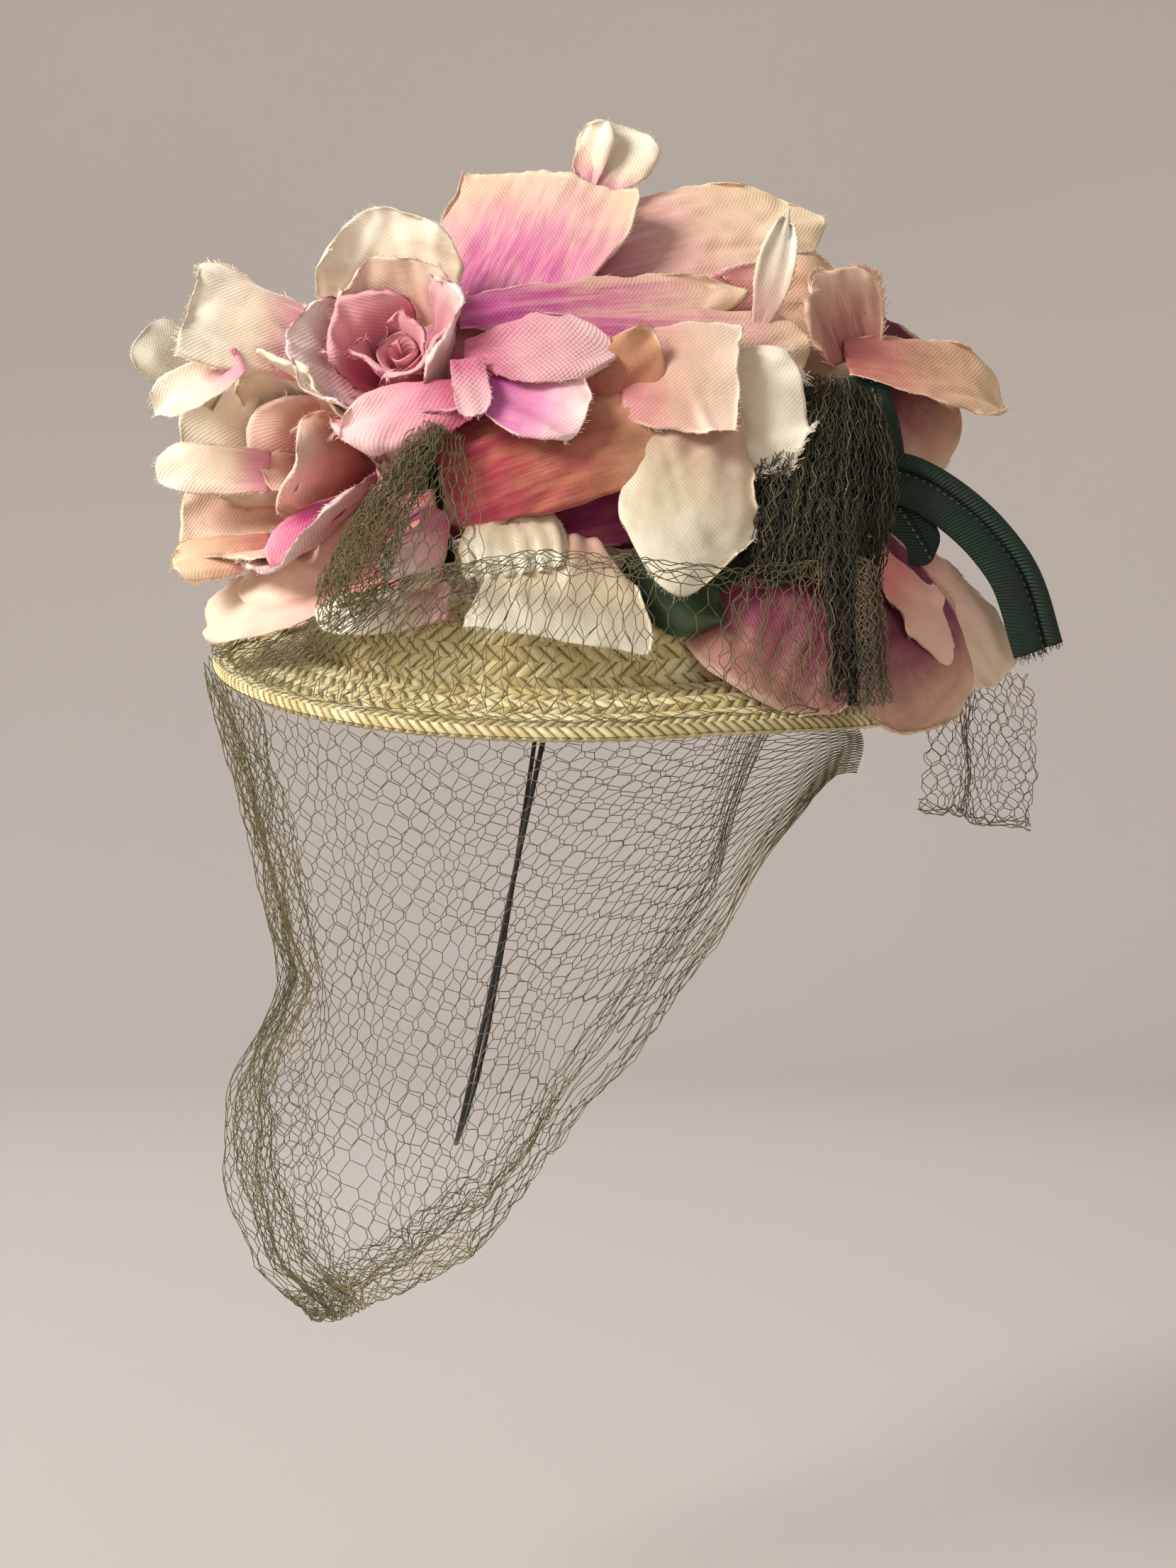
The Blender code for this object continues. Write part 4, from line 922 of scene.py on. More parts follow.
@dataclass
class Node:
    """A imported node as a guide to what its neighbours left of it."""

    name: str
    reach: float = 0.78
    tree: BVHTree = field(init=False)

    def __post_init__(self) -> None:
        """Reads the node's mesh."""
        work = bmesh.new()
        work.from_mesh(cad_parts[self.name].data)
        self.tree = BVHTree.FromBMesh(work)
        work.free()

    def holds(self, place: Vector) -> bool:
        """Whether a place in millimetres lies within reach of the node's wall."""
        return self.tree.find_nearest(place * MM, self.reach * MM)[0] is not None


@dataclass(frozen=True)
class Crease:
    """A fold pressed into a petal's cloth, by the cloth's own millimetres."""

    middle: Vector
    way: Vector
    reach: float
    width: float
    height: float

    def lift(self, place: Vector) -> float:
        """How high the cloth stands at a place."""
        away = place - self.middle
        along = away.dot(self.way) / self.reach
        if abs(along) > 1.0:
            return 0.0
        aside = (away.x * self.way.y - away.y * self.way.x) / self.width + 0.9 * along * along
        ridge = math.exp(-aside * aside) - 0.55 * math.exp(-(0.6 * (aside - 2.2)) ** 2)
        return self.height * ridge * (1.0 - ease(abs(along)))


@dataclass
class PetalMaker:
    """Makes the fabric petals: fine cloth with creases, a curled cut border and loose fibres."""

    cell: float = 1.2
    far_cell: float = 2.0
    wall: float = 0.34
    gather: float = 0.55
    crumple: float = 1.5
    crumple_size: float = 21.0
    dent_size: float = 8.0
    pleat: float = 1.8
    pleat_size: float = 6.5
    curl: float = 0.85
    curl_turn: float = math.radians(160.0)
    curl_size: float = 17.0
    jag: float = 0.3
    jag_size: float = 1.1
    tear_size: float = 6.0
    fibre: float = 0.13
    fringe: float = 0.24
    fibre_gap: float = 0.55
    fibre_length: float = 1.5
    fibre_root: float = 0.4
    fibre_stray: float = 0.35
    tip_edge: float = 0.995
    cut_passes: int = 6
    small_width: float = 24.0
    creased: dict[str, list[Crease]] = field(default_factory=dict)

    def creases(self, petal: Petal) -> list[Crease]:
        """The petal's own creases, which run more or less along it."""
        if petal.name not in self.creased:
            dice = random.Random(petal.name + " creases")
            found = []
            for _ in range(max(3, round(petal.width / 9.0))):
                turn = dice.gauss(0.0, 0.5)
                aside = dice.uniform(-0.42, 0.42) * petal.width
                middle = Vector((aside, dice.uniform(0.1, 0.95) * petal.length))
                found.append(Crease(middle, Vector((math.sin(turn), math.cos(turn))),
                                    dice.uniform(0.3, 0.6) * petal.length, dice.uniform(1.1, 2.8),
                                    dice.choice((-1.0, 1.0)) * dice.uniform(0.3, 1.0)))
            self.creased[petal.name] = found
        return self.creased[petal.name]

    def curled(self, petal: Petal, across: float, along: float) -> Triple:
        """Rolls the border over, by an amount that changes along it.

        Args:
            petal: the petal.
            across: from -1 to 1.
            along: from 0 to 1.

        Returns:
            Both shares as the roll draws them in, and the lift off the cloth.
        """
        seed = self.seed(petal)
        half = max(3.0, petal.half_width(along))
        flat = Vector((across * half, along * petal.length, seed))
        amount = max(-1.0, min(1.0, 2.4 * ripple(flat, self.curl_size, seed + 11.0) + 0.3))
        span = self.curl * self.curl_turn * abs(amount) * min(1.0, petal.width / 30.0)
        lift = 0.0
        for share, size in ((abs(across), half), (along, petal.length)):
            past = span - (1.0 - share) * size
            if past > 0.0:
                drawn = past - self.curl * math.sin(past / self.curl)
                lift -= math.copysign(self.curl * (1.0 - math.cos(past / self.curl)), amount)
                if size == half:
                    across -= math.copysign(drawn / size, across)
                else:
                    along -= drawn / size
        return across, along, lift

    def seed(self, petal: Petal) -> float:
        """A number that is the petal's own, for its noise."""
        return sum((k + 1) * ord(c) for k, c in enumerate(petal.name)) % 97 * 0.37

    def cloth_point(self, petal: Petal, across: float, along: float) -> Vector:
        """A place on the finished cloth.

        Args:
            petal: the petal.
            across: from -1 to 1.
            along: from 0 to 1.

        Returns:
            The place in millimetres.
        """
        seed = self.seed(petal)
        flat = Vector((across * petal.half_width(along), along * petal.length, seed))
        near_side = ease((abs(across) - 0.86) / 0.14)
        near_tip = ease((along - 0.9) / 0.1)
        across, along, lift = self.curled(petal, across, along)
        ragged = 0.5 + 0.9 * ripple(flat, self.jag_size, seed) + 2.0 * ripple(flat, self.tear_size, seed)
        ragged *= self.jag
        across -= math.copysign(near_side * ragged / max(4.0, petal.half_width(along)), across)
        along -= near_tip * ragged / petal.length
        place, out = petal.point(across, along)
        width = min(1.0, petal.width / 40.0)
        folds = math.sin(across * 9.0 + seed + 1.5 * ripple(flat, 14.0, seed))
        lift += self.gather * width * folds * max(0.0, 1.0 - along) ** 1.4
        dents = ripple(flat, self.crumple_size, seed) + 0.3 * ripple(flat, self.dent_size, seed + 5.0)
        lift += self.crumple * dents * width
        lift += sum(crease.lift(flat.xy) for crease in self.creases(petal)) * (0.4 + 0.6 * width)
        drawn = Vector((flat.x + 0.5 * ripple(flat, 9.0, seed), 0.34 * flat.y, seed))
        pleats = 0.24 - abs(ripple(drawn, self.pleat_size, seed + 2.0))
        lift += self.pleat * petal.pleat * (0.4 + 0.6 * width) * pleats
        lift += 0.35 * max(near_side, near_tip) * ripple(flat, 4.0, seed + 9.0)
        return place + out * lift

    def coarse_places(self, petal: Petal, across: float, along: float) -> tuple[Vector, Vector]:
        """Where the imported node's flat facets have a place, for either way of splitting a cell."""
        cells = 3 if petal.width < self.small_width else 4
        column = min(cells - 1, int(across * cells))
        row = min(cells - 1, int(along * cells))
        x, y = across * cells - column, along * cells - row

        def corner(right: int, up: int) -> Vector:
            """A corner of the cell."""
            return petal.point(2.0 * (column + right) / cells - 1.0, (row + up) / cells)[0]

        low, right, left, high = corner(0, 0), corner(1, 0), corner(0, 1), corner(1, 1)
        if x >= y:
            first = low + x * (right - low) + y * (high - right)
        else:
            first = low + y * (left - low) + x * (high - left)
        if x + y <= 1.0:
            return first, low + x * (right - low) + y * (left - low)
        return first, high + (1.0 - x) * (left - high) + (1.0 - y) * (right - high)

    def keep_largest(self, work: Work) -> None:
        """Takes away every part of the cloth but the one with the most faces."""
        left, parts = set(work.faces), []
        while left:
            part, edge = set(), [left.pop()]
            while edge:
                face = edge.pop()
                part.add(face)
                for other in (f for e in face.edges for f in e.link_faces if f in left):
                    left.discard(other)
                    edge.append(other)
            parts.append(part)
        parts.sort(key=len)
        bmesh.ops.delete(work, geom=[face for part in parts[:-1] for face in part], context="FACES")

    def smooth_cut(self, work: Work, layer: bmesh.types.BMLayerItem) -> None:
        """Straightens the steps of a border that follows the grid where the cloth was cut back.

        Args:
            work: the cloth.
            layer: its map of the petal's shares, by which the outer border is known.
        """
        cut = {}
        for vertex in work.verts:
            share = vertex.link_loops[0][layer].uv
            rim = [edge.other_vert(vertex) for edge in vertex.link_edges if len(edge.link_faces) == 1]
            if len(rim) == 2 and 0.004 < share.x < 0.996 and 0.004 < share.y < 0.996:
                cut[vertex] = rim
        for _ in range(self.cut_passes):
            moved = {v: 0.4 * v.co + 0.3 * (rim[0].co + rim[1].co) for v, rim in cut.items()}
            for vertex, place in moved.items():
                vertex.co = place

    def cell_of(self, petal: Petal) -> float:
        """The size of a petal's grid cells, coarser on the side away from the camera."""
        return self.far_cell if petal.name.startswith("far_") else self.cell

    def sheet(self, petal: Petal, guide: Optional[Node]) -> tuple[Work, list[Pair]]:
        """The petal's open cloth.

        Args:
            petal: the petal.
            guide: the node that it keeps to, or none to keep it all.

        Returns:
            The cloth's mesh, and the shares of the border's places that are kept.
        """
        cell = self.cell_of(petal)
        columns = max(10, round(petal.width / cell))
        rows = max(12, round(petal.length / cell))
        seed = self.seed(petal)

        def spread(across: float, along: float) -> Pair:
            """The petal's own shares at a place of the grid, whose lines crowd towards the border."""
            middle = 2.0 * across - 1.0
            return middle * (1.3 - 0.3 * middle * middle), along * (1.25 - 0.25 * along * along)

        def share(across: float, along: float) -> Pair:
            """The same from 0 to 1."""
            side, up = spread(across, along)
            return 0.5 * (side + 1.0), up

        def real(across: float, along: float) -> Pair:
            """Millimetres on the flat cloth, shifted to the petal's own place on the bolt."""
            side, up = spread(across, along)
            return side * petal.half_width(up) + 31.0 * seed, up * petal.length + 17.0 * seed

        work = surface_grid(lambda s, t: self.cloth_point(petal, *spread(s, t)), columns, rows,
                            petal=share, cloth=real)
        layer = work.loops.layers.uv["petal"]
        if guide:
            lost = []
            for face in work.faces:
                middle = sum((loop[layer].uv for loop in face.loops), Vector((0.0, 0.0))) / len(face.loops)
                if not any(guide.holds(p) for p in self.coarse_places(petal, middle.x, middle.y)):
                    lost.append(face)
            bmesh.ops.delete(work, geom=lost, context="FACES")
            if lost:
                self.keep_largest(work)
                self.smooth_cut(work, layer)
        kept = []
        for edge in work.edges:
            if len(edge.link_faces) == 1:
                uv = [loop[layer].uv for loop in edge.link_loops[0].face.loops if loop.vert in edge.verts]
                middle = 0.5 * (uv[0] + uv[1])
                if min(middle.x, 1.0 - middle.x, 1.0 - middle.y) < 0.002:
                    kept.append((middle.x, middle.y))
        return work, sorted(kept)

    def fibres(self, petal: Petal, border: list[Pair]) -> list[Thread]:
        """Loose cut threads along the border.

        Args:
            petal: the petal.
            border: shares of the places on its border.

        Returns:
            The threads.
        """
        dice = random.Random(petal.name)
        cell = self.cell_of(petal)
        reach = FRINGES.get(petal.name, self.fibre_length)
        amount = reach / self.fibre_length
        found = []
        for across, along in border:
            for _ in range(max(1, round(amount * cell / self.fibre_gap))):
                step = dice.uniform(-0.5, 0.5) * cell
                at_tip = along > self.tip_edge
                s = min(1.0, max(0.0, across + (step / petal.width if at_tip else 0.0)))
                t = min(1.0, max(0.05, along + (0.0 if at_tip else step / petal.length)))
                start = self.cloth_point(petal, 2.0 * s - 1.0, t)
                if at_tip:
                    inner = self.cloth_point(petal, 2.0 * s - 1.0, 0.94)
                else:
                    inner = self.cloth_point(petal, 2.0 * (s + (0.5 - s) * 0.06) - 1.0, t - 0.05)
                away = (start - inner).normalized()
                length = reach * dice.uniform(0.25, 1.0) ** (1.5 * self.fibre_length / reach)
                stray = chance_vector(dice) * self.fibre_stray
                found.append(frayed_thread(start, away, stray, length, root=self.fibre_root, bend=0.5))
        return found

    def make(self, petal: Petal, guided: bool = True, node: Optional[str] = None) -> None:
        """Makes and dresses a petal.

        Args:
            petal: the petal.
            guided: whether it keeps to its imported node.
            node: the node that it stands for, if that isn't its own name.
        """
        finish = OWN_FINISHES.get(petal.name, CLOTH_FINISHES[petal.cloth])
        if INNER in petal.name:
            finish = INNER_PINK if PINK_ROSE.name in petal.name else SALMON
        work, border = self.sheet(petal, Node(petal.name) if guided else None)
        made = add_piece(work, petal.name + "_cloth", finish, wall=self.wall)
        whole = bmesh.new()
        whole.from_mesh(settled_mesh(made))
        bmesh.ops.scale(whole, vec=(1 / MM, 1 / MM, 1 / MM), verts=whole.verts)
        bpy.data.objects.remove(made)
        thickness = self.fringe if petal.name in FRINGES else self.fibre
        add_threads(whole, self.fibres(petal, border), thickness, 1)
        cut = ThreadFinish(finish.name + "_fibre", finish.tip, finish.body, roughness=0.7, sheen=0.3)
        hand_over(add_piece(whole, petal.name + "_cloth", finish, cut), petal.cloth, node or petal.name)


@dataclass
class RoseHearts:
    """The rolled middles of the roses, on their bound stems."""

    petals: PetalMaker
    turns: float = 2.3
    core: float = 0.7
    radius: float = 7.4
    height: float = 25.0
    stem: float = 2.4
    wrap: float = 0.35
    wrap_step: float = 3.4
    seat: float = 4.0

    def roll(self, rose: Rose) -> None:
        """The strip of cloth rolled up into the rose's middle."""
        axis = Vector(rose.axis).normalized()
        one = axis.orthogonal().normalized()
        two = axis.cross(one)
        foot = Vector(rose.foot)

        def surface(around: float, up: float) -> Vector:
            """A place on the rolled strip."""
            angle = 2.0 * math.pi * self.turns * around
            ray = self.core + (self.radius - self.core) * around ** 0.8 * (0.62 + 0.5 * ease(up))
            ray += 0.8 * ease((up - 0.8) / 0.2)
            ray += 0.35 * math.sin(5.0 * angle / self.turns + 4.0 * up)
            ray += 1.5 * up * ripple(Vector((4.0 * around, 6.0 * up, 1.0)), 1.0) * min(1.0, 3.0 * around)
            rise = -1.0 + self.height * up * (1.0 - 0.12 * around) + 0.8 * math.sin(3.0 * angle) * up
            return foot + axis * rise + (one * math.cos(angle) + two * math.sin(angle)) * ray

        length = self.turns * math.pi * self.radius
        work = surface_grid(surface, 110, 22, petal=shares, cloth=lambda s, t: (length * s, self.height * t))
        finish = INNER_PINK if rose is PINK_ROSE else SALMON
        made = add_piece(work, rose.name + "_roll", finish, wall=self.petals.wall)
        hand_over(made, "pink", rose.name + "_heart")

    def bound_stem(self, rose: Rose) -> None:
        """The stem, wound with a narrow strip of green cloth."""
        root = Vector(rose.root)
        run = Vector(rose.foot) + Vector(rose.axis).normalized() * self.stem - root
        root += run.normalized() * self.seat
        run -= run.normalized() * self.seat
        one = run.orthogonal().normalized()
        two = run.normalized().cross(one)

        def surface(around: float, up: float) -> Vector:
            """A place on the wound strip."""
            angle = 2.0 * math.pi * around
            lap = (up * run.length / self.wrap_step + around) % 1.0
            ray = (self.stem - self.wrap) + self.wrap * lap
            return root + run * up + (one * math.cos(angle) + two * math.sin(angle)) * ray

        work = surface_grid(surface, 20, 90, petal=shares, cloth=lambda s, t: (15.0 * s, run.length * t))
        bmesh.ops.remove_doubles(work, verts=work.verts, dist=0.01)
        bmesh.ops.holes_fill(work, edges=work.edges, sides=0)
        bmesh.ops.recalc_face_normals(work, faces=work.faces)
        hand_over(add_piece(work, rose.name + "_stem", LEAF), "leaf", rose.name + "_heart")

    def make(self, rose: Rose) -> None:
        """Makes the middle, its tight petals and the stem of a rose."""
        self.roll(rose)
        self.bound_stem(rose)
        for row in HEART_PETALS:
            petal = replace(rose.petal(row), name=f"{rose.name}_{row.name}")
            self.petals.make(petal, guided=False, node=rose.name + "_heart")


@dataclass
class Straw:
    """The plaited straw: crown, brim and the folded row round the edge, on a drooped, tilted oval.

    The three profiles are rows of a radius and a height.
    """

    stretch: float = 11.0
    foot: float = 71.6
    tilt: float = math.radians(16.0)
    drop: float = 7.0
    droop_start: float = 30.0
    droop_span: float = 60.0
    inner_height: float = 28.4
    row: float = 8.8
    splint: float = 4.9
    arch: float = 1.5
    crown: tuple[Pair, ...] = (
        (71.6, 4.2), (69.8, 22.0), (65.0, 27.6), (52.0, 29.6), (0.0, 30.0), (0.0, 28.4), (52.0, 28.0),
        (64.0, 26.1), (68.2, 21.5), (70.0, 4.2))
    brim: tuple[Pair, ...] = (
        (94.2, 1.4), (83.0, 3.9), (71.9, 5.6), (71.9, 4.0), (83.0, 2.3), (94.2, -0.2))
    rim: tuple[Pair, ...] = (
        (99.4, -1.6), (98.2, 1.4), (95.6, 2.3), (94.5, 1.6), (94.5, -2.2), (97.2, -3.2))

    def hat_place(self, side: float, along: float, height: float) -> Vector:
        """A place of the level hat, with height over the rim's plane, where the tilted hat has it."""
        droop = max(0.0, along - self.droop_start) / self.droop_span
        lift = height - self.inner_height - self.drop * droop ** 2
        return Vector((
            side * math.cos(self.tilt) + lift * math.sin(self.tilt),
            along,
            lift * math.cos(self.tilt) - side * math.sin(self.tilt),
        ))

    def oval_place(self, angle: float, radius: float, height: float) -> Vector:
        """A place on the oval at an angle from the front towards the wearer's left."""
        along = -(radius + self.stretch * min(1.0, radius / self.foot)) * math.cos(angle)
        return self.hat_place(radius * math.sin(angle), along, height)

    def fine_profile(self, corners: Sequence[Pair], gap: float) -> list[tuple[Vector, Vector, float]]:
        """Points along a closed profile.

        Args:
            corners: its corners, each a radius and a height.
            gap: the spacing wanted.

        Returns:
            For each point its place, its outward direction and its distance along the profile.
        """
        ends = [Vector(c) for c in (*corners, corners[0])]
        found, run = [], 0.0
        for low, high in zip(ends, ends[1:]):
            step = high - low
            out = Vector((-step.y, step.x)).normalized() * -1.0
            count = max(1, round(step.length / gap))
            for k in range(count):
                found.append((low.lerp(high, k / count), out, run + step.length * k / count))
            run += step.length
        found.append((ends[-1], found[0][1], run))
        smooth = []
        for k, (place, out, along) in enumerate(found):
            near = found[max(0, k - 1)][1] + out + found[min(len(found) - 1, k + 1)][1]
            smooth.append((place, near.normalized(), along))
        return smooth

    def relief(self, u: float, v: float) -> float:
        """The plait's height from 0 to 1, for splints along u and half rows along v."""
        half = math.floor(v)
        inside = v - half
        odd = half % 2
        run = (u + inside * (1.0 - 2.0 * odd) * 0.9 + odd * 0.5) % 1.0
        edge = math.sin(math.pi * inside)
        return math.sqrt(max(0.0, 1.0 - (2.0 * run - 1.0) ** 2)) * (0.55 + 0.45 * edge) + 0.25 * run

    def shell(self, name: str, corners: Sequence[Pair], gap: float, around: int,
              fine: float = 1.0) -> None:
        """A plaited shell turned from a profile.

        Args:
            name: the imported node's name.
            corners: the profile.
            gap: the spacing of its points.
            around: how many steps it is turned in.
            fine: the size of its plait against the usual.
        """
        profile = self.fine_profile(corners, gap)
        girth = 2.0 * math.pi * (max(c[0] for c in corners) + 0.5 * self.stretch)
        splints = round(girth / (self.splint * fine))
        half_row = 0.5 * self.row * fine

        def surface(turn: float, share: float) -> Vector:
            """A place on the plait."""
            place, out, along = profile[round(share * (len(profile) - 1))]
            angle = 2.0 * math.pi * turn
            height = self.relief(turn * splints, along / half_row)
            fade = min(1.0, place.x / 12.0)
            grown = place + out * ((height - 0.45) * self.arch * fine * fade)
            return self.oval_place(angle, max(0.0, grown.x), grown.y)

        def count(turn: float, share: float) -> Pair:
            """Splints along the row, and half rows."""
            return turn * splints, profile[round(share * (len(profile) - 1))][2] / half_row

        work = surface_grid(surface, around, len(profile) - 1, plait=count)
        bmesh.ops.remove_doubles(work, verts=work.verts, dist=0.02)
        bmesh.ops.dissolve_degenerate(work, edges=work.edges, dist=0.01)
        bmesh.ops.recalc_face_normals(work, faces=work.faces)
        hand_over(add_piece(work, name + "_plait", StrawFinish()), "straw", name)

    def make(self) -> None:
        """Makes the three straw pieces."""
        self.shell("straw_crown", self.crown, gap=1.7, around=500)
        self.shell("straw_brim", self.brim, gap=0.8, around=860)
        self.shell("rim_braid", self.rim, gap=0.5, around=860, fine=0.66)


@dataclass(frozen=True)
class Layer:
    """A layer of net: meshes across the whole surface and down it, the millimetres that its knots stray, its
    noise's seed, and the part of the surface's first share that it covers.
    """

    across: int
    down: int
    loose: float = 0.6
    seed: float = 0.0
    part: Pair = (0.0, 1.0)


@dataclass(frozen=True)
class Sheaf:
    """A gathered bundle of net: crumpled layers of a mesh, single strands, and a core of thick near-black
    strands behind them, painted shade in the bundle's depth.
    """

    shape: Petal
    node: str
    finish: ThreadFinish
    layers: int
    mesh: Layer
    strands: int
    # How many thick near-black strands of painted shade sit behind the bundle.
    core: int = 0


SHEAVES = (
    Sheaf(FRONT_SHEAF, "veil_gather_front", MOSS, 4, Layer(5, 20, 2.3), 30),
    Sheaf(FRONT_NET, "veil_gather_front", OLIVE, 2, Layer(9, 12, 1.4), 10),
    Sheaf(BACK_SHEAF, "veil_gather_back", SHADED_NET, 4, Layer(13, 19, 1.5), 150, core=130),
    Sheaf(replace(BACK_SHEAF, name="veil_gather_gold"), "veil_gather_back", STRAND, 0, Layer(0, 17), 34),
    Sheaf(BACK_COLUMN, "veil_gather_back", SHADED_NET, 2, Layer(5, 18, 0.8), 34, core=12),
    Sheaf(BACK_BAND, "veil_gather_back", BAND_NET, 2, Layer(4, 20, 0.6), 40),
    Sheaf(SKIRT_STRANDS, "veil_gather_back", STRAND, 1, Layer(9, 11, 1.1), 22),
)


@dataclass
class Nets:
    """The net: a hexagonal mesh of fine threads on the veil's surfaces, and the gathered bundles.

    A row of hem is a share of the half turn and the hem's place there. A row of pouch is a share of the drop
    and how far the veil stands forward. A row of tucks is an angle and the place where the net goes under the
    flowers. A row of holes is a tear's middle along and up, and its half sizes.
    """

    straw: Straw
    thread: float = 0.3
    sweep: float = math.radians(138.0)
    veil_top: Pair = (102.6, -2.0)
    corner: float = 0.85
    corner_drop: float = 13.0
    net_edge: Pair = (99.8, 2.9)
    tail_start: Triple = (-16.0, 109.5, -26.0)
    tail_width: Triple = (-44.0, 38.0, -6.0)
    tail_drop: float = 52.0
    torn_side: float = -5.0
    bundle_depth: float = 2.6
    shade_core_depth: float = 2.4
    hem: Rows = (
        (0.00, 0.0, -77.0, -234.0), (0.12, 14.0, -72.0, -232.0), (0.30, 36.0, -52.0, -221.0),
        (0.45, 50.0, -28.0, -206.0), (0.60, 58.0, -6.0, -177.0), (0.75, 68.0, 27.0, -136.0),
        (0.88, 72.0, 51.0, -102.0), (1.00, 62.0, 80.0, -58.0))
    pouch: tuple[Pair, ...] = (
        (0.00, 0.0), (0.25, -5.0), (0.48, -7.0), (0.66, 15.0), (0.80, 19.5), (0.92, 14.0), (1.00, 0.0))
    tucks: Rows = (
        (-24.0, 6.0, -88.0, -12.0), (0.0, 30.0, -82.0, -16.0), (30.0, 60.0, -60.0, -14.0),
        (55.0, 79.0, -36.0, -8.0), (78.0, 87.0, -8.0, -4.0), (98.0, 87.0, 18.0, -6.0),
        (117.0, 82.0, 46.0, -9.0), (134.0, 72.0, 70.0, -6.0))
    holes: Rows = (
        (-63.0, -184.0, 5.0, 9.0), (3.0, -145.0, 11.0, 11.0), (-54.0, -79.0, 3.5, 4.0),
        (-33.0, -116.0, 4.0, 4.5), (-42.0, -110.0, 3.0, 3.0))

    def veil(self, around: float, drop: float) -> Vector:
        """The face veil, from the far corner to the near one and from the rim to the hem."""
        turn = 2.0 * around - 1.0
        top = self.straw.oval_place(turn * self.sweep, *self.veil_top)
        side, along, up = read_rows(self.hem, abs(turn))
        hem = Vector((math.copysign(side, turn), along, up))
        if abs(turn) > self.corner:
            rising = (abs(turn) - self.corner) / (1.0 - self.corner)
            hem = hem.lerp(top - Vector((0.0, 0.0, self.corner_drop)), rising)
        place = top.lerp(hem, drop)
        forward = read_rows(self.pouch, drop)[0] * (1.0 - ease(abs(turn) / 0.45))
        return place + Vector((0.0, -forward, 0.0))

    def brim_net(self, around: float, drop: float) -> Vector:
        """The net over the brim, from the far front to the near back and from the tuck to the rim."""
        angle = self.tucks[0][0] + (self.tucks[-1][0] - self.tucks[0][0]) * around
        tuck = Vector(read_rows(self.tucks, angle))
        return tuck.lerp(self.straw.oval_place(math.radians(angle), *self.net_edge), drop)

    def tail(self, across: float, drop: float) -> Vector:
        """The net's loose end behind the flowers."""
        fold = 3.0 * math.sin(2.5 * math.pi * across) + 2.5 * math.sin(math.pi * drop)
        top = Vector(self.tail_start) + Vector(self.tail_width) * across
        return top + Vector((0.0, fold, -self.tail_drop * drop))

    def whole_here(self, place: Vector) -> bool:
        """Whether the near side's net isn't torn at a place."""
        if place.x < self.torn_side:
            return True
        for along, up, half_along, half_up in self.holes:
            ragged = 1.0 + 0.35 * ripple(place, 5.0, 3.0)
            if ((place.y - along) / half_along) ** 2 + ((place.z - up) / half_up) ** 2 < ragged:
                return False
        return True

    def hexagons(self, surface: Surface, layer: Layer) -> list[Thread]:
        """The threads of a hexagonal net.

        Args:
            surface: where the net lies, by its two shares.
            layer: its meshes.

        Returns:
            The zigzag threads and the short links between them.
        """
        first, last = (round(2 * layer.across * p) for p in layer.part)
        found: list[Thread] = []

        def knot(column: int, row: int) -> Vector:
            """A knot of a zigzag row, strayed a little."""
            lean = 1.0 if (column + row) % 2 else -1.0
            down = (row + 0.5 + 0.27 * lean) / (layer.down + 1.0)
            place = surface(column / (2.0 * layer.across), min(1.0, max(0.0, down)))
            return place + ripple_vector(place, 6.0, layer.seed) * layer.loose

        for row in range(layer.down + 1):
            thread: Thread = []
            for column in range(first, last + 1):
                place = knot(column, row)
                if not self.whole_here(place):
                    if thread:
                        found.append(thread)
                    thread = []
                    continue
                if thread:
                    half = (thread[-1] + place) * 0.5
                    thread.append(half + ripple_vector(half, 3.0, layer.seed + 2.0) * (0.45 * layer.loose))
                thread.append(place)
                if row < layer.down and (column + row) % 2:
                    under = knot(column, row + 1)
                    if self.whole_here(under):
                        found.append([place, under])
            if thread:
                found.append(thread)
        return found

    def band(self, surface: Surface, strands: int, width: float, steps: int, seed: int,
             shy: float = 0.0) -> list[Thread]:
        """Crowded strands along the surface's lower edge.

        Args:
            surface: where they lie.
            strands: how many.
            width: how wide the band is, in millimetres.
            steps: points on each.
            seed: a number for their chance.
            shy: how much of either end a strand may leave free.

        Returns:
            The strands.
        """
        dice = random.Random(seed)
        found = []
        for strand in range(strands):
            first, last = shy * dice.random(), 1.0 - shy * dice.random()
            level = width * (strand / strands) ** 1.3
            phase = dice.uniform(0.0, 6.3)
            thread = []
            for step in range(steps + 1):
                around = first + (last - first) * step / steps
                low = surface(around, 1.0)
                fall = (low - surface(around, 0.9)).length / 0.1
                stray = 1.3 * ripple(Vector((step * 0.3, strand, seed)), 1.0)
                lift = level + 0.9 * math.sin(0.9 * step + phase) + stray
                place = surface(around, 1.0 - max(0.0, lift) / max(8.0, fall))
                place += ripple_vector(place, 5.0, strand * 1.3) * 0.9
                thread.append(place)
            found.append(thread)
        return found

    def net_piece(self, name: str, threads: list[Thread], finish: ThreadFinish) -> Piece:
        """Makes a piece of net from its threads."""
        work = bmesh.new()
        add_threads(work, threads, self.thread)
        return hand_over(add_piece(work, name + "_threads", finish), "net", name)

    def folded(self, place: Vector, around: float, drop: float, out: Vector, seed: float) -> Vector:
        """Moves a place of the veil by its soft folds."""
        turn = abs(2.0 * around - 1.0)
        depth = (1.6 + 2.2 * ease((0.5 - turn) / 0.3)) * ease(drop / 0.15)
        swing = math.sin(58.0 * around + 3.0 * drop + seed) + 0.6 * math.sin(23.0 * around - 5.0 * drop)
        return place + out * (depth * swing * 0.7) + ripple_vector(place, 26.0, seed) * 1.6

    def face_veil(self) -> None:
        """The face veil: one layer all round, a second crumpled one at the front, and the crowded hem."""

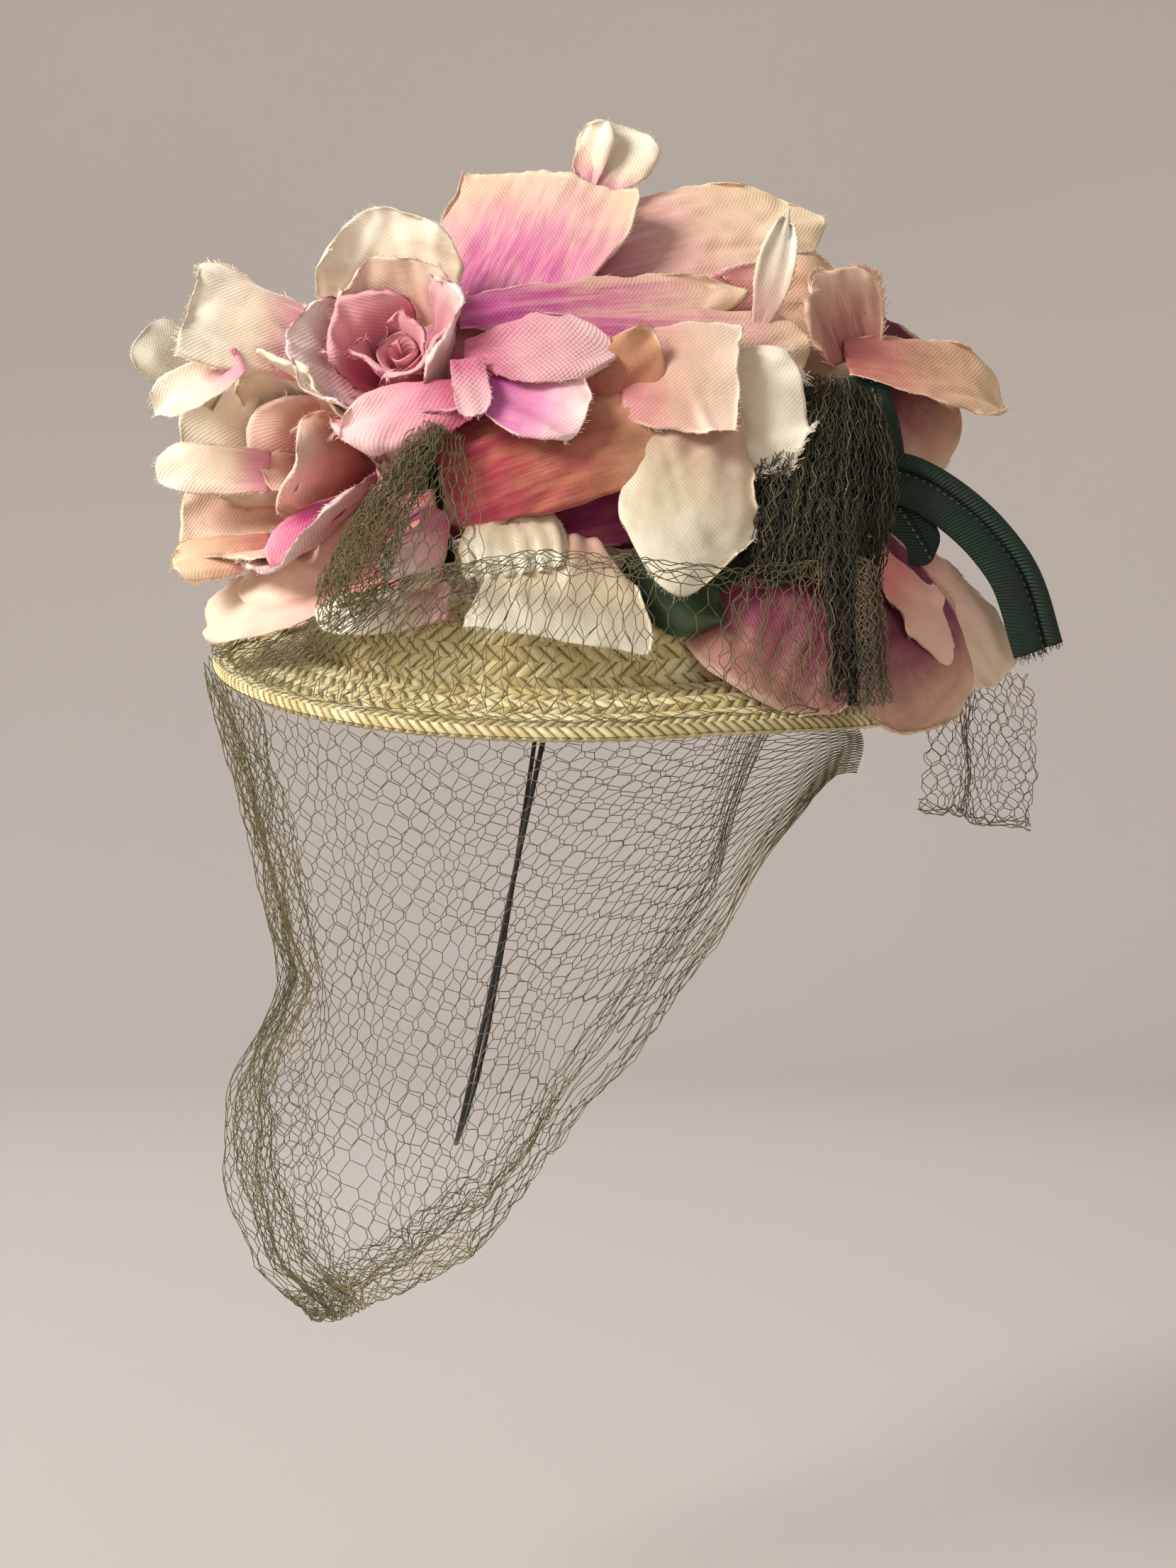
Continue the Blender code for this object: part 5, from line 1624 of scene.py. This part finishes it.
        def outer(around: float, drop: float) -> Vector:
            """The veil with its folds."""
            place = self.veil(around, drop)
            return self.folded(place, around, drop, Vector((place.x, place.y, 0.0)).normalized(), 0.0)

        def inner(around: float, drop: float) -> Vector:
            """The crumpled layer just inside."""
            place = self.veil(around, 0.02 + 0.98 * drop)
            out = Vector((place.x, place.y, 0.0)).normalized()
            crease = 1.8 * math.sin(90.0 * around + 9.0 * drop) + 3.0 * ripple(place, 16.0, 4.0)
            return place - out * (2.5 - crease)

        threads = self.hexagons(outer, Layer(64, 34))
        threads += self.hexagons(inner, Layer(124, 58, loose=1.0, seed=5.0, part=(0.43, 0.61)))
        threads += self.band(outer, strands=16, width=12.0, steps=190, seed=5, shy=0.3)
        made = self.net_piece("face_veil", threads, OLIVE)

    def over_brim(self) -> None:
        """The brim net: crowded, crumpled layers drawn from under the flowers to the rim."""

        def layer(lift: float, seed: float) -> Surface:
            """One of the layers, lifted off the brim."""
            def surface(around: float, drop: float) -> Vector:
                """A place on the layer."""
                place = self.brim_net(around, drop)
                rise = math.sin(math.pi * drop)
                fold = 1.1 * math.sin(70.0 * around + 2.0 * drop + seed) + 1.2 * ripple(place, 9.0, seed)
                return place + Vector((0.25, 0.0, 1.0)) * ((lift + 0.8 * fold) * rise)
            return surface

        threads = self.hexagons(layer(0.6, 0.0), Layer(38, 4, 0.8, 1.0))
        threads += self.hexagons(layer(1.4, 2.0), Layer(60, 6, 1.6, 3.0, (0.0, 0.42)))
        threads += self.hexagons(layer(2.0, 5.0), Layer(62, 8, 1.7, 6.0, (0.0, 0.26)))
        threads += self.hexagons(layer(1.2, 7.0), Layer(58, 6, 1.3, 9.0, (0.3, 0.8)))
        threads += self.band(layer(0.5, 1.0), strands=3, width=2.5, steps=130, seed=8)
        threads += self.band(lambda around, drop: layer(1.5, 4.0)(around, 1.0 - drop), strands=7, width=7.0,
                             steps=150, seed=12)
        made = self.net_piece("brim_veil", threads, OLIVE)

    def veil_tail(self) -> None:
        """The loose end of net behind the flowers."""

        def surface(across: float, drop: float) -> Vector:
            """A place on the tail with its creases."""
            place = self.tail(across, drop)
            return place + ripple_vector(place, 12.0, 3.0) * 1.6

        threads = self.hexagons(surface, Layer(11, 11, 0.8, 2.0))
        threads += self.hexagons(surface, Layer(13, 14, 1.8, 7.0))
        threads += self.band(surface, strands=5, width=4.0, steps=30, seed=4)
        made = self.net_piece("veil_tail", threads, BROWN_NET)

    def sheaf(self, bundle: Sheaf) -> None:
        """Makes a gathered bundle of net."""
        shape = bundle.shape
        dice = random.Random(shape.name)
        threads: list[Thread] = []
        for number in range(bundle.layers):
            depth = self.bundle_depth * ((number + 0.5) / bundle.layers - 0.5)
            spread = dice.uniform(0.85, 1.1)
            aside = dice.uniform(-0.12, 0.12)

            def surface(across: float, along: float) -> Vector:
                """A place on one layer of the bundle."""
                place, out = shape.point((2.0 * across - 1.0) * spread + aside * along, along)
                return place + out * (depth + 1.5 * ripple(place, 7.0, 2.0 * number))

            threads += self.hexagons(surface, replace(bundle.mesh, seed=3.0 * number))
        inside: list[Thread] = []
        waves = 0.5 * bundle.mesh.down
        steps = round(3.0 * waves)
        for strand in range(bundle.strands + bundle.core):
            start, spread = dice.uniform(-1.0, 1.0), dice.gauss(0.0, 0.22)
            depth, phase = dice.uniform(-1.2, 2.0), dice.uniform(0.0, 6.3)
            swing = dice.uniform(0.4, 1.1)
            low, high = dice.uniform(-0.02, 0.2), dice.uniform(0.8, 1.02)
            thread = []
            for step in range(steps + 1):
                along = min(1.0, max(0.0, low + (high - low) * step / steps))
                wave = swing * math.sin(2.0 * math.pi * waves * along + phase)
                across = max(-1.05, min(1.05, start + spread * along + wave / shape.half_width(along)))
                place, out = shape.point(across, along)
                thread.append(place + out * (depth + 0.5 * ripple(place, 5.0, strand)))
                # Core strands are pushed deeper behind the bundle, where they stand as painted shade.
                if strand >= bundle.strands:
                    thread[-1] -= out * (depth + self.shade_core_depth)
            (threads if strand < bundle.strands else inside).append(thread)
        work = bmesh.new()
        add_threads(work, threads, self.thread)
        add_threads(work, inside, 4.0 * self.thread, 1)
        hand_over(add_piece(work, shape.name + "_strands", bundle.finish, SHADE_CORE_NET), "net", bundle.node)

    def make(self) -> None:
        """Makes every piece of net."""
        self.face_veil()
        self.over_brim()
        self.veil_tail()
        for bundle in SHEAVES:
            self.sheaf(bundle)


def smooth_route(points: Sequence[Triple], steps: int, fineness: int = 12) -> list[Vector]:
    """Points along a smooth curve.

    Args:
        points: the places that it passes.
        steps: how many equal steps it is cut into.
        fineness: how many steps it is first worked out in between two of its places.

    Returns:
        The points, one more than the steps.
    """
    places = [Vector(point) for point in points]
    ends = [2 * places[0] - places[1]] + places + [2 * places[-1] - places[-2]]
    fine = []
    for before, start, end, after in zip(ends, ends[1:], ends[2:], ends[3:]):
        for step in range(fineness):
            share = step / fineness
            fine.append(0.5 * (
                2 * start + (end - before) * share
                + (2 * before - 5 * start + 4 * end - after) * share ** 2
                + (3 * start - before - 3 * end + after) * share ** 3
            ))
    fine.append(places[-1])
    lengths = [0.0]
    for start, end in zip(fine, fine[1:]):
        lengths.append(lengths[-1] + (end - start).length)
    route, place = [], 0
    for step in range(steps + 1):
        wanted = lengths[-1] * step / steps
        while place < len(fine) - 2 and lengths[place + 1] < wanted:
            place += 1
        share = (wanted - lengths[place]) / (lengths[place + 1] - lengths[place])
        route.append(fine[place].lerp(fine[place + 1], share))
    return route


@dataclass
class ChinElastic:
    """The round elastic, from inside the crown's left side, under the chin and up to its right side."""

    diameter: float = 1.5
    steps: int = 240
    roundness: int = 3
    route: tuple[Triple, ...] = (
        (57.5, -6.0, -36.5), (58.5, -6.0, -43.0), (63.0, -6.5, -52.0), (65.5, -8.5, -62.0),
        (63.0, -15.0, -92.0), (58.0, -22.0, -126.0), (51.0, -29.0, -157.0), (32.0, -33.0, -173.0),
        (0.0, -35.0, -179.0), (-32.0, -33.0, -173.0), (-53.0, -29.0, -157.0), (-62.0, -22.0, -118.0),
        (-70.0, -14.0, -66.0), (-73.0, -8.0, -22.0), (-72.2, -6.0, -8.0), (-70.6, -6.0, 0.0))

    def make(self) -> None:
        places = smooth_route(self.route, self.steps)
        work = bmesh.new()
        add_threads(work, [places], self.diameter, roundness=self.roundness)
        made = hand_over(add_piece(work, "chin_elastic_cord", ELASTIC), "elastic", "chin_elastic")
        length = run_length(places)
        log.info("chin elastic: %.0f mm long", length)
        tuple(places[0] * MM)
        [tuple(p * MM) for p in places]


@dataclass
class Ribbon:
    """The green ribbon: a band folded lengthwise that arches over the back, and its fold under the net."""

    width: float = 16.0
    route: tuple[Triple, ...] = (
        (34.0, 86.0, 22.0), (33.0, 102.0, 20.0), (30.0, 120.0, 8.0), (27.0, 133.0, -8.0),
        (25.0, 140.0, -29.0))
    face: Triple = (0.97, 0.15, 0.2)
    wall: float = 0.55
    steps: int = 90
    columns: int = 28
    frays: int = 110
    fray: float = 0.16
    fray_length: float = 2.6
    fray_stray: float = 0.3
    fray_root: float = 0.5

    def cloth(self, name: str, node: str, surface: Surface, cells: tuple[int, int],
              width: float, length: float) -> Piece:
        """A length of the ribbon.

        Args:
            name: its name.
            node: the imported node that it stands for.
            surface: where it lies.
            cells: its cells across and along.
            width: its flat width in millimetres.
            length: its flat length.

        Returns:
            The piece.
        """
        work = surface_grid(surface, *cells, petal=shares, cloth=lambda s, t: (width * s, length * t))
        return hand_over(add_piece(work, name + "_cloth", RibbonFinish(), wall=self.wall), "ribbon", node)

    def loop(self) -> None:
        """The arched band, with its fold line and its frayed end."""
        places = smooth_route(self.route, self.steps)
        face = Vector(self.face)

        def surface(across: float, along: float) -> Vector:
            """A place on the band."""
            index = min(self.steps - 1, int(along * self.steps))
            onward = (places[index + 1] - places[index]).normalized()
            side = onward.cross(face).normalized()
            out = side.cross(onward).normalized()
            share = 2.0 * across - 1.0
            fold = -1.1 * math.exp(-((across - RibbonFinish.seam) / 0.06) ** 2)
            if across > RibbonFinish.seam:
                puff = 1.9 * (1.0 - ((across - 0.67) / 0.34) ** 2)
            else:
                puff = 1.3 * (1.0 - ((across - 0.16) / 0.18) ** 2)
            spot = places[index].lerp(places[index + 1], along * self.steps - index)
            rise = max(-0.3, puff) + fold + 0.35 * ripple(spot, 11.0)
            return spot + side * (share * 0.5 * self.width) + out * rise

        length = run_length(places)
        cells = (self.columns, self.steps)
        made = self.cloth("ribbon_loop", "ribbon_loop", surface, cells, self.width, length)
        self.width * MM

        dice = random.Random("ribbon")
        frayed = []
        for _ in range(self.frays):
            start = surface(dice.random(), 1.0)
            away = (places[-1] - places[-2]).normalized()
            stray = chance_vector(dice) * self.fray_stray
            reach = self.fray_length * dice.uniform(0.2, 1.0) ** 1.6
            frayed.append(frayed_thread(start, away, stray, reach, root=self.fray_root, bend=0.4))
        ends = bmesh.new()
        add_threads(ends, frayed, self.fray)
        finish = ThreadFinish("ribbon_fray", RibbonFinish.green, RibbonFinish.deep_green_and_shade)
        hand_over(add_piece(ends, "ribbon_loop_frays", finish), "ribbon", "ribbon_loop")

    def fold(self, shape: Petal, node: str) -> None:
        """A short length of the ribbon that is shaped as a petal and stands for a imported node."""

        def surface(across: float, along: float) -> Vector:
            """A place on the fold."""
            place, out = shape.point(1.96 * across - 0.98, along)
            return place + out * (0.8 * math.sin(9.0 * across + 2.0 * along))

        self.cloth(shape.name, node, surface, (24, 40), shape.width, shape.length)

    def make(self) -> None:
        """Makes the loop, the darker fold under the net, and the run that comes down to the loop."""
        self.loop()
        self.fold(RIBBON_KNOT, "ribbon_knot")
        self.fold(RIBBON_RUN, "ribbon_loop")


@dataclass(frozen=True)
class Lamp:
    """A square soft light: its place, size and aim in metres, its power in watts and its colour."""

    name: str
    place: Triple
    size: float
    power: float
    colour: Triple
    aim: Triple = (0.0, 0.0, -0.05)

    def make(self) -> None:
        """Adds the light."""
        lamp = bpy.data.lights.new(self.name, "AREA")
        lamp.size, lamp.energy, lamp.color = self.size, self.power, self.colour
        made = bpy.data.objects.new(self.name, lamp)
        made.location = self.place
        made.rotation_euler = (Vector(self.aim) - Vector(self.place)).to_track_quat("-Z", "Y").to_euler()
        bpy.context.scene.collection.objects.link(made)


@dataclass
class Studio:
    """The camera where the photograph's stood, soft studio light and a plain pale floor, in metres."""

    eye: Triple = (0.85, 0.0054, -0.069)
    half_height: float = 0.24167
    floor: float = -0.33
    reach: float = 2.4
    cove: float = 0.8
    cove_steps: int = 12
    wall_top: float = 1.5
    sides: int = 64
    floor_dark: Tint = (186, 178, 172)
    floor_light: Tint = (194, 187, 181)
    room: float = 0.4
    room_tint: Tint = (200, 196, 196)
    lamps: tuple[Lamp, ...] = (
        Lamp("key", (1.2, -1.68, 1.2), 0.88, 71.0, (1.0, 0.98, 0.95)),
        Lamp("fill", (1.7, 0.65, 0.55), 0.9, 4.0, (1.0, 0.97, 0.94)),
        Lamp("back", (-1.35, -0.3, 1.4), 1.1, 14.0, (1.0, 1.0, 1.0)),
        Lamp("wall", (-0.7, 0.0, 1.35), 0.9, 4.0, (1.0, 0.98, 0.96), aim=(-2.3, 0.0, 0.0)),
    )

    def camera(self) -> None:
        """Puts the camera level, looking along -X."""
        lens = bpy.data.cameras.new("camera")
        lens.lens = 0.5 * lens.sensor_width * self.eye[0] / self.half_height
        lens.clip_start = 0.01
        made = bpy.data.objects.new("camera", lens)
        made.location = self.eye
        made.rotation_euler = (math.radians(90.0), 0.0, math.radians(90.0))
        bpy.context.scene.collection.objects.link(made)
        bpy.context.scene.camera = made

    def backdrop(self) -> None:
        """A pale floor that runs up into a backdrop all round."""
        work = bmesh.new()
        corner = self.cove
        line = [work.verts.new((0.0, 0.0, self.floor))]
        for step in range(self.cove_steps + 1):
            turn = 0.5 * math.pi * step / self.cove_steps
            line.append(work.verts.new((self.reach - corner + corner * math.sin(turn), 0.0,
                                        self.floor + corner - corner * math.cos(turn))))
        line.append(work.verts.new((self.reach, 0.0, self.wall_top)))
        edges = [work.edges.new(pair) for pair in zip(line, line[1:])]
        bmesh.ops.spin(work, geom=line + edges, cent=(0.0, 0.0, 0.0), axis=(0.0, 0.0, 1.0),
                       angle=2.0 * math.pi, steps=self.sides, use_merge=True)
        bmesh.ops.remove_doubles(work, verts=work.verts, dist=0.001)
        bmesh.ops.recalc_face_normals(work, faces=work.faces)
        bmesh.ops.reverse_faces(work, faces=work.faces)
        for face in work.faces:
            face.smooth = True
        mesh = bpy.data.meshes.new("floor")
        work.to_mesh(mesh)
        work.free()
        shade = Shade("floor")
        tone = shade.grain(shade.place(), 1.2, 2.0)
        colour = shade.mix(tone, self.floor_dark, self.floor_light)
        mesh.materials.append(shade.close(Base_Color=colour, Roughness=0.9))
        made = bpy.data.objects.new("floor", mesh)
        bpy.context.scene.collection.objects.link(made)

    def make(self) -> None:
        """Sets the studio up."""
        self.camera()
        self.backdrop()
        for lamp in self.lamps:
            lamp.make()
        world = bpy.data.worlds.new("room")
        world.use_nodes = True
        sky = world.node_tree.nodes["Background"]
        sky.inputs["Color"].default_value = linear_colour(*self.room_tint)
        sky.inputs["Strength"].default_value = self.room
        scene = bpy.context.scene
        scene.world = world
        scene.view_settings.view_transform = "Standard"


def main() -> None:
    """Builds the studio and the hat's sub-assemblies."""
    logging.basicConfig(level=logging.INFO, format="%(name)s %(message)s", stream=sys.stdout)
    noise.seed_set(NOISE_SEED)
    Studio().make()
    ChinElastic().make()
    straw = Straw()
    straw.make()
    petals = PetalMaker()
    for petal in PETALS:
        petals.make(petal, guided=petal.name not in WHOLE)
    for lining, node in LININGS:
        petals.make(lining, guided=False, node=node)
    hearts = RoseHearts(petals)
    for rose in (PINK_ROSE, BLUSH_ROSE):
        hearts.make(rose)
        for row in rose.petals:
            petals.make(rose.petal(row))
    petals.make(PINK_ROSE.petal(ROSE_SHADE_LINING), guided=False, node="rose_right")
    Nets(straw).make()
    Ribbon().make()


if __name__ == "__main__":
    main()
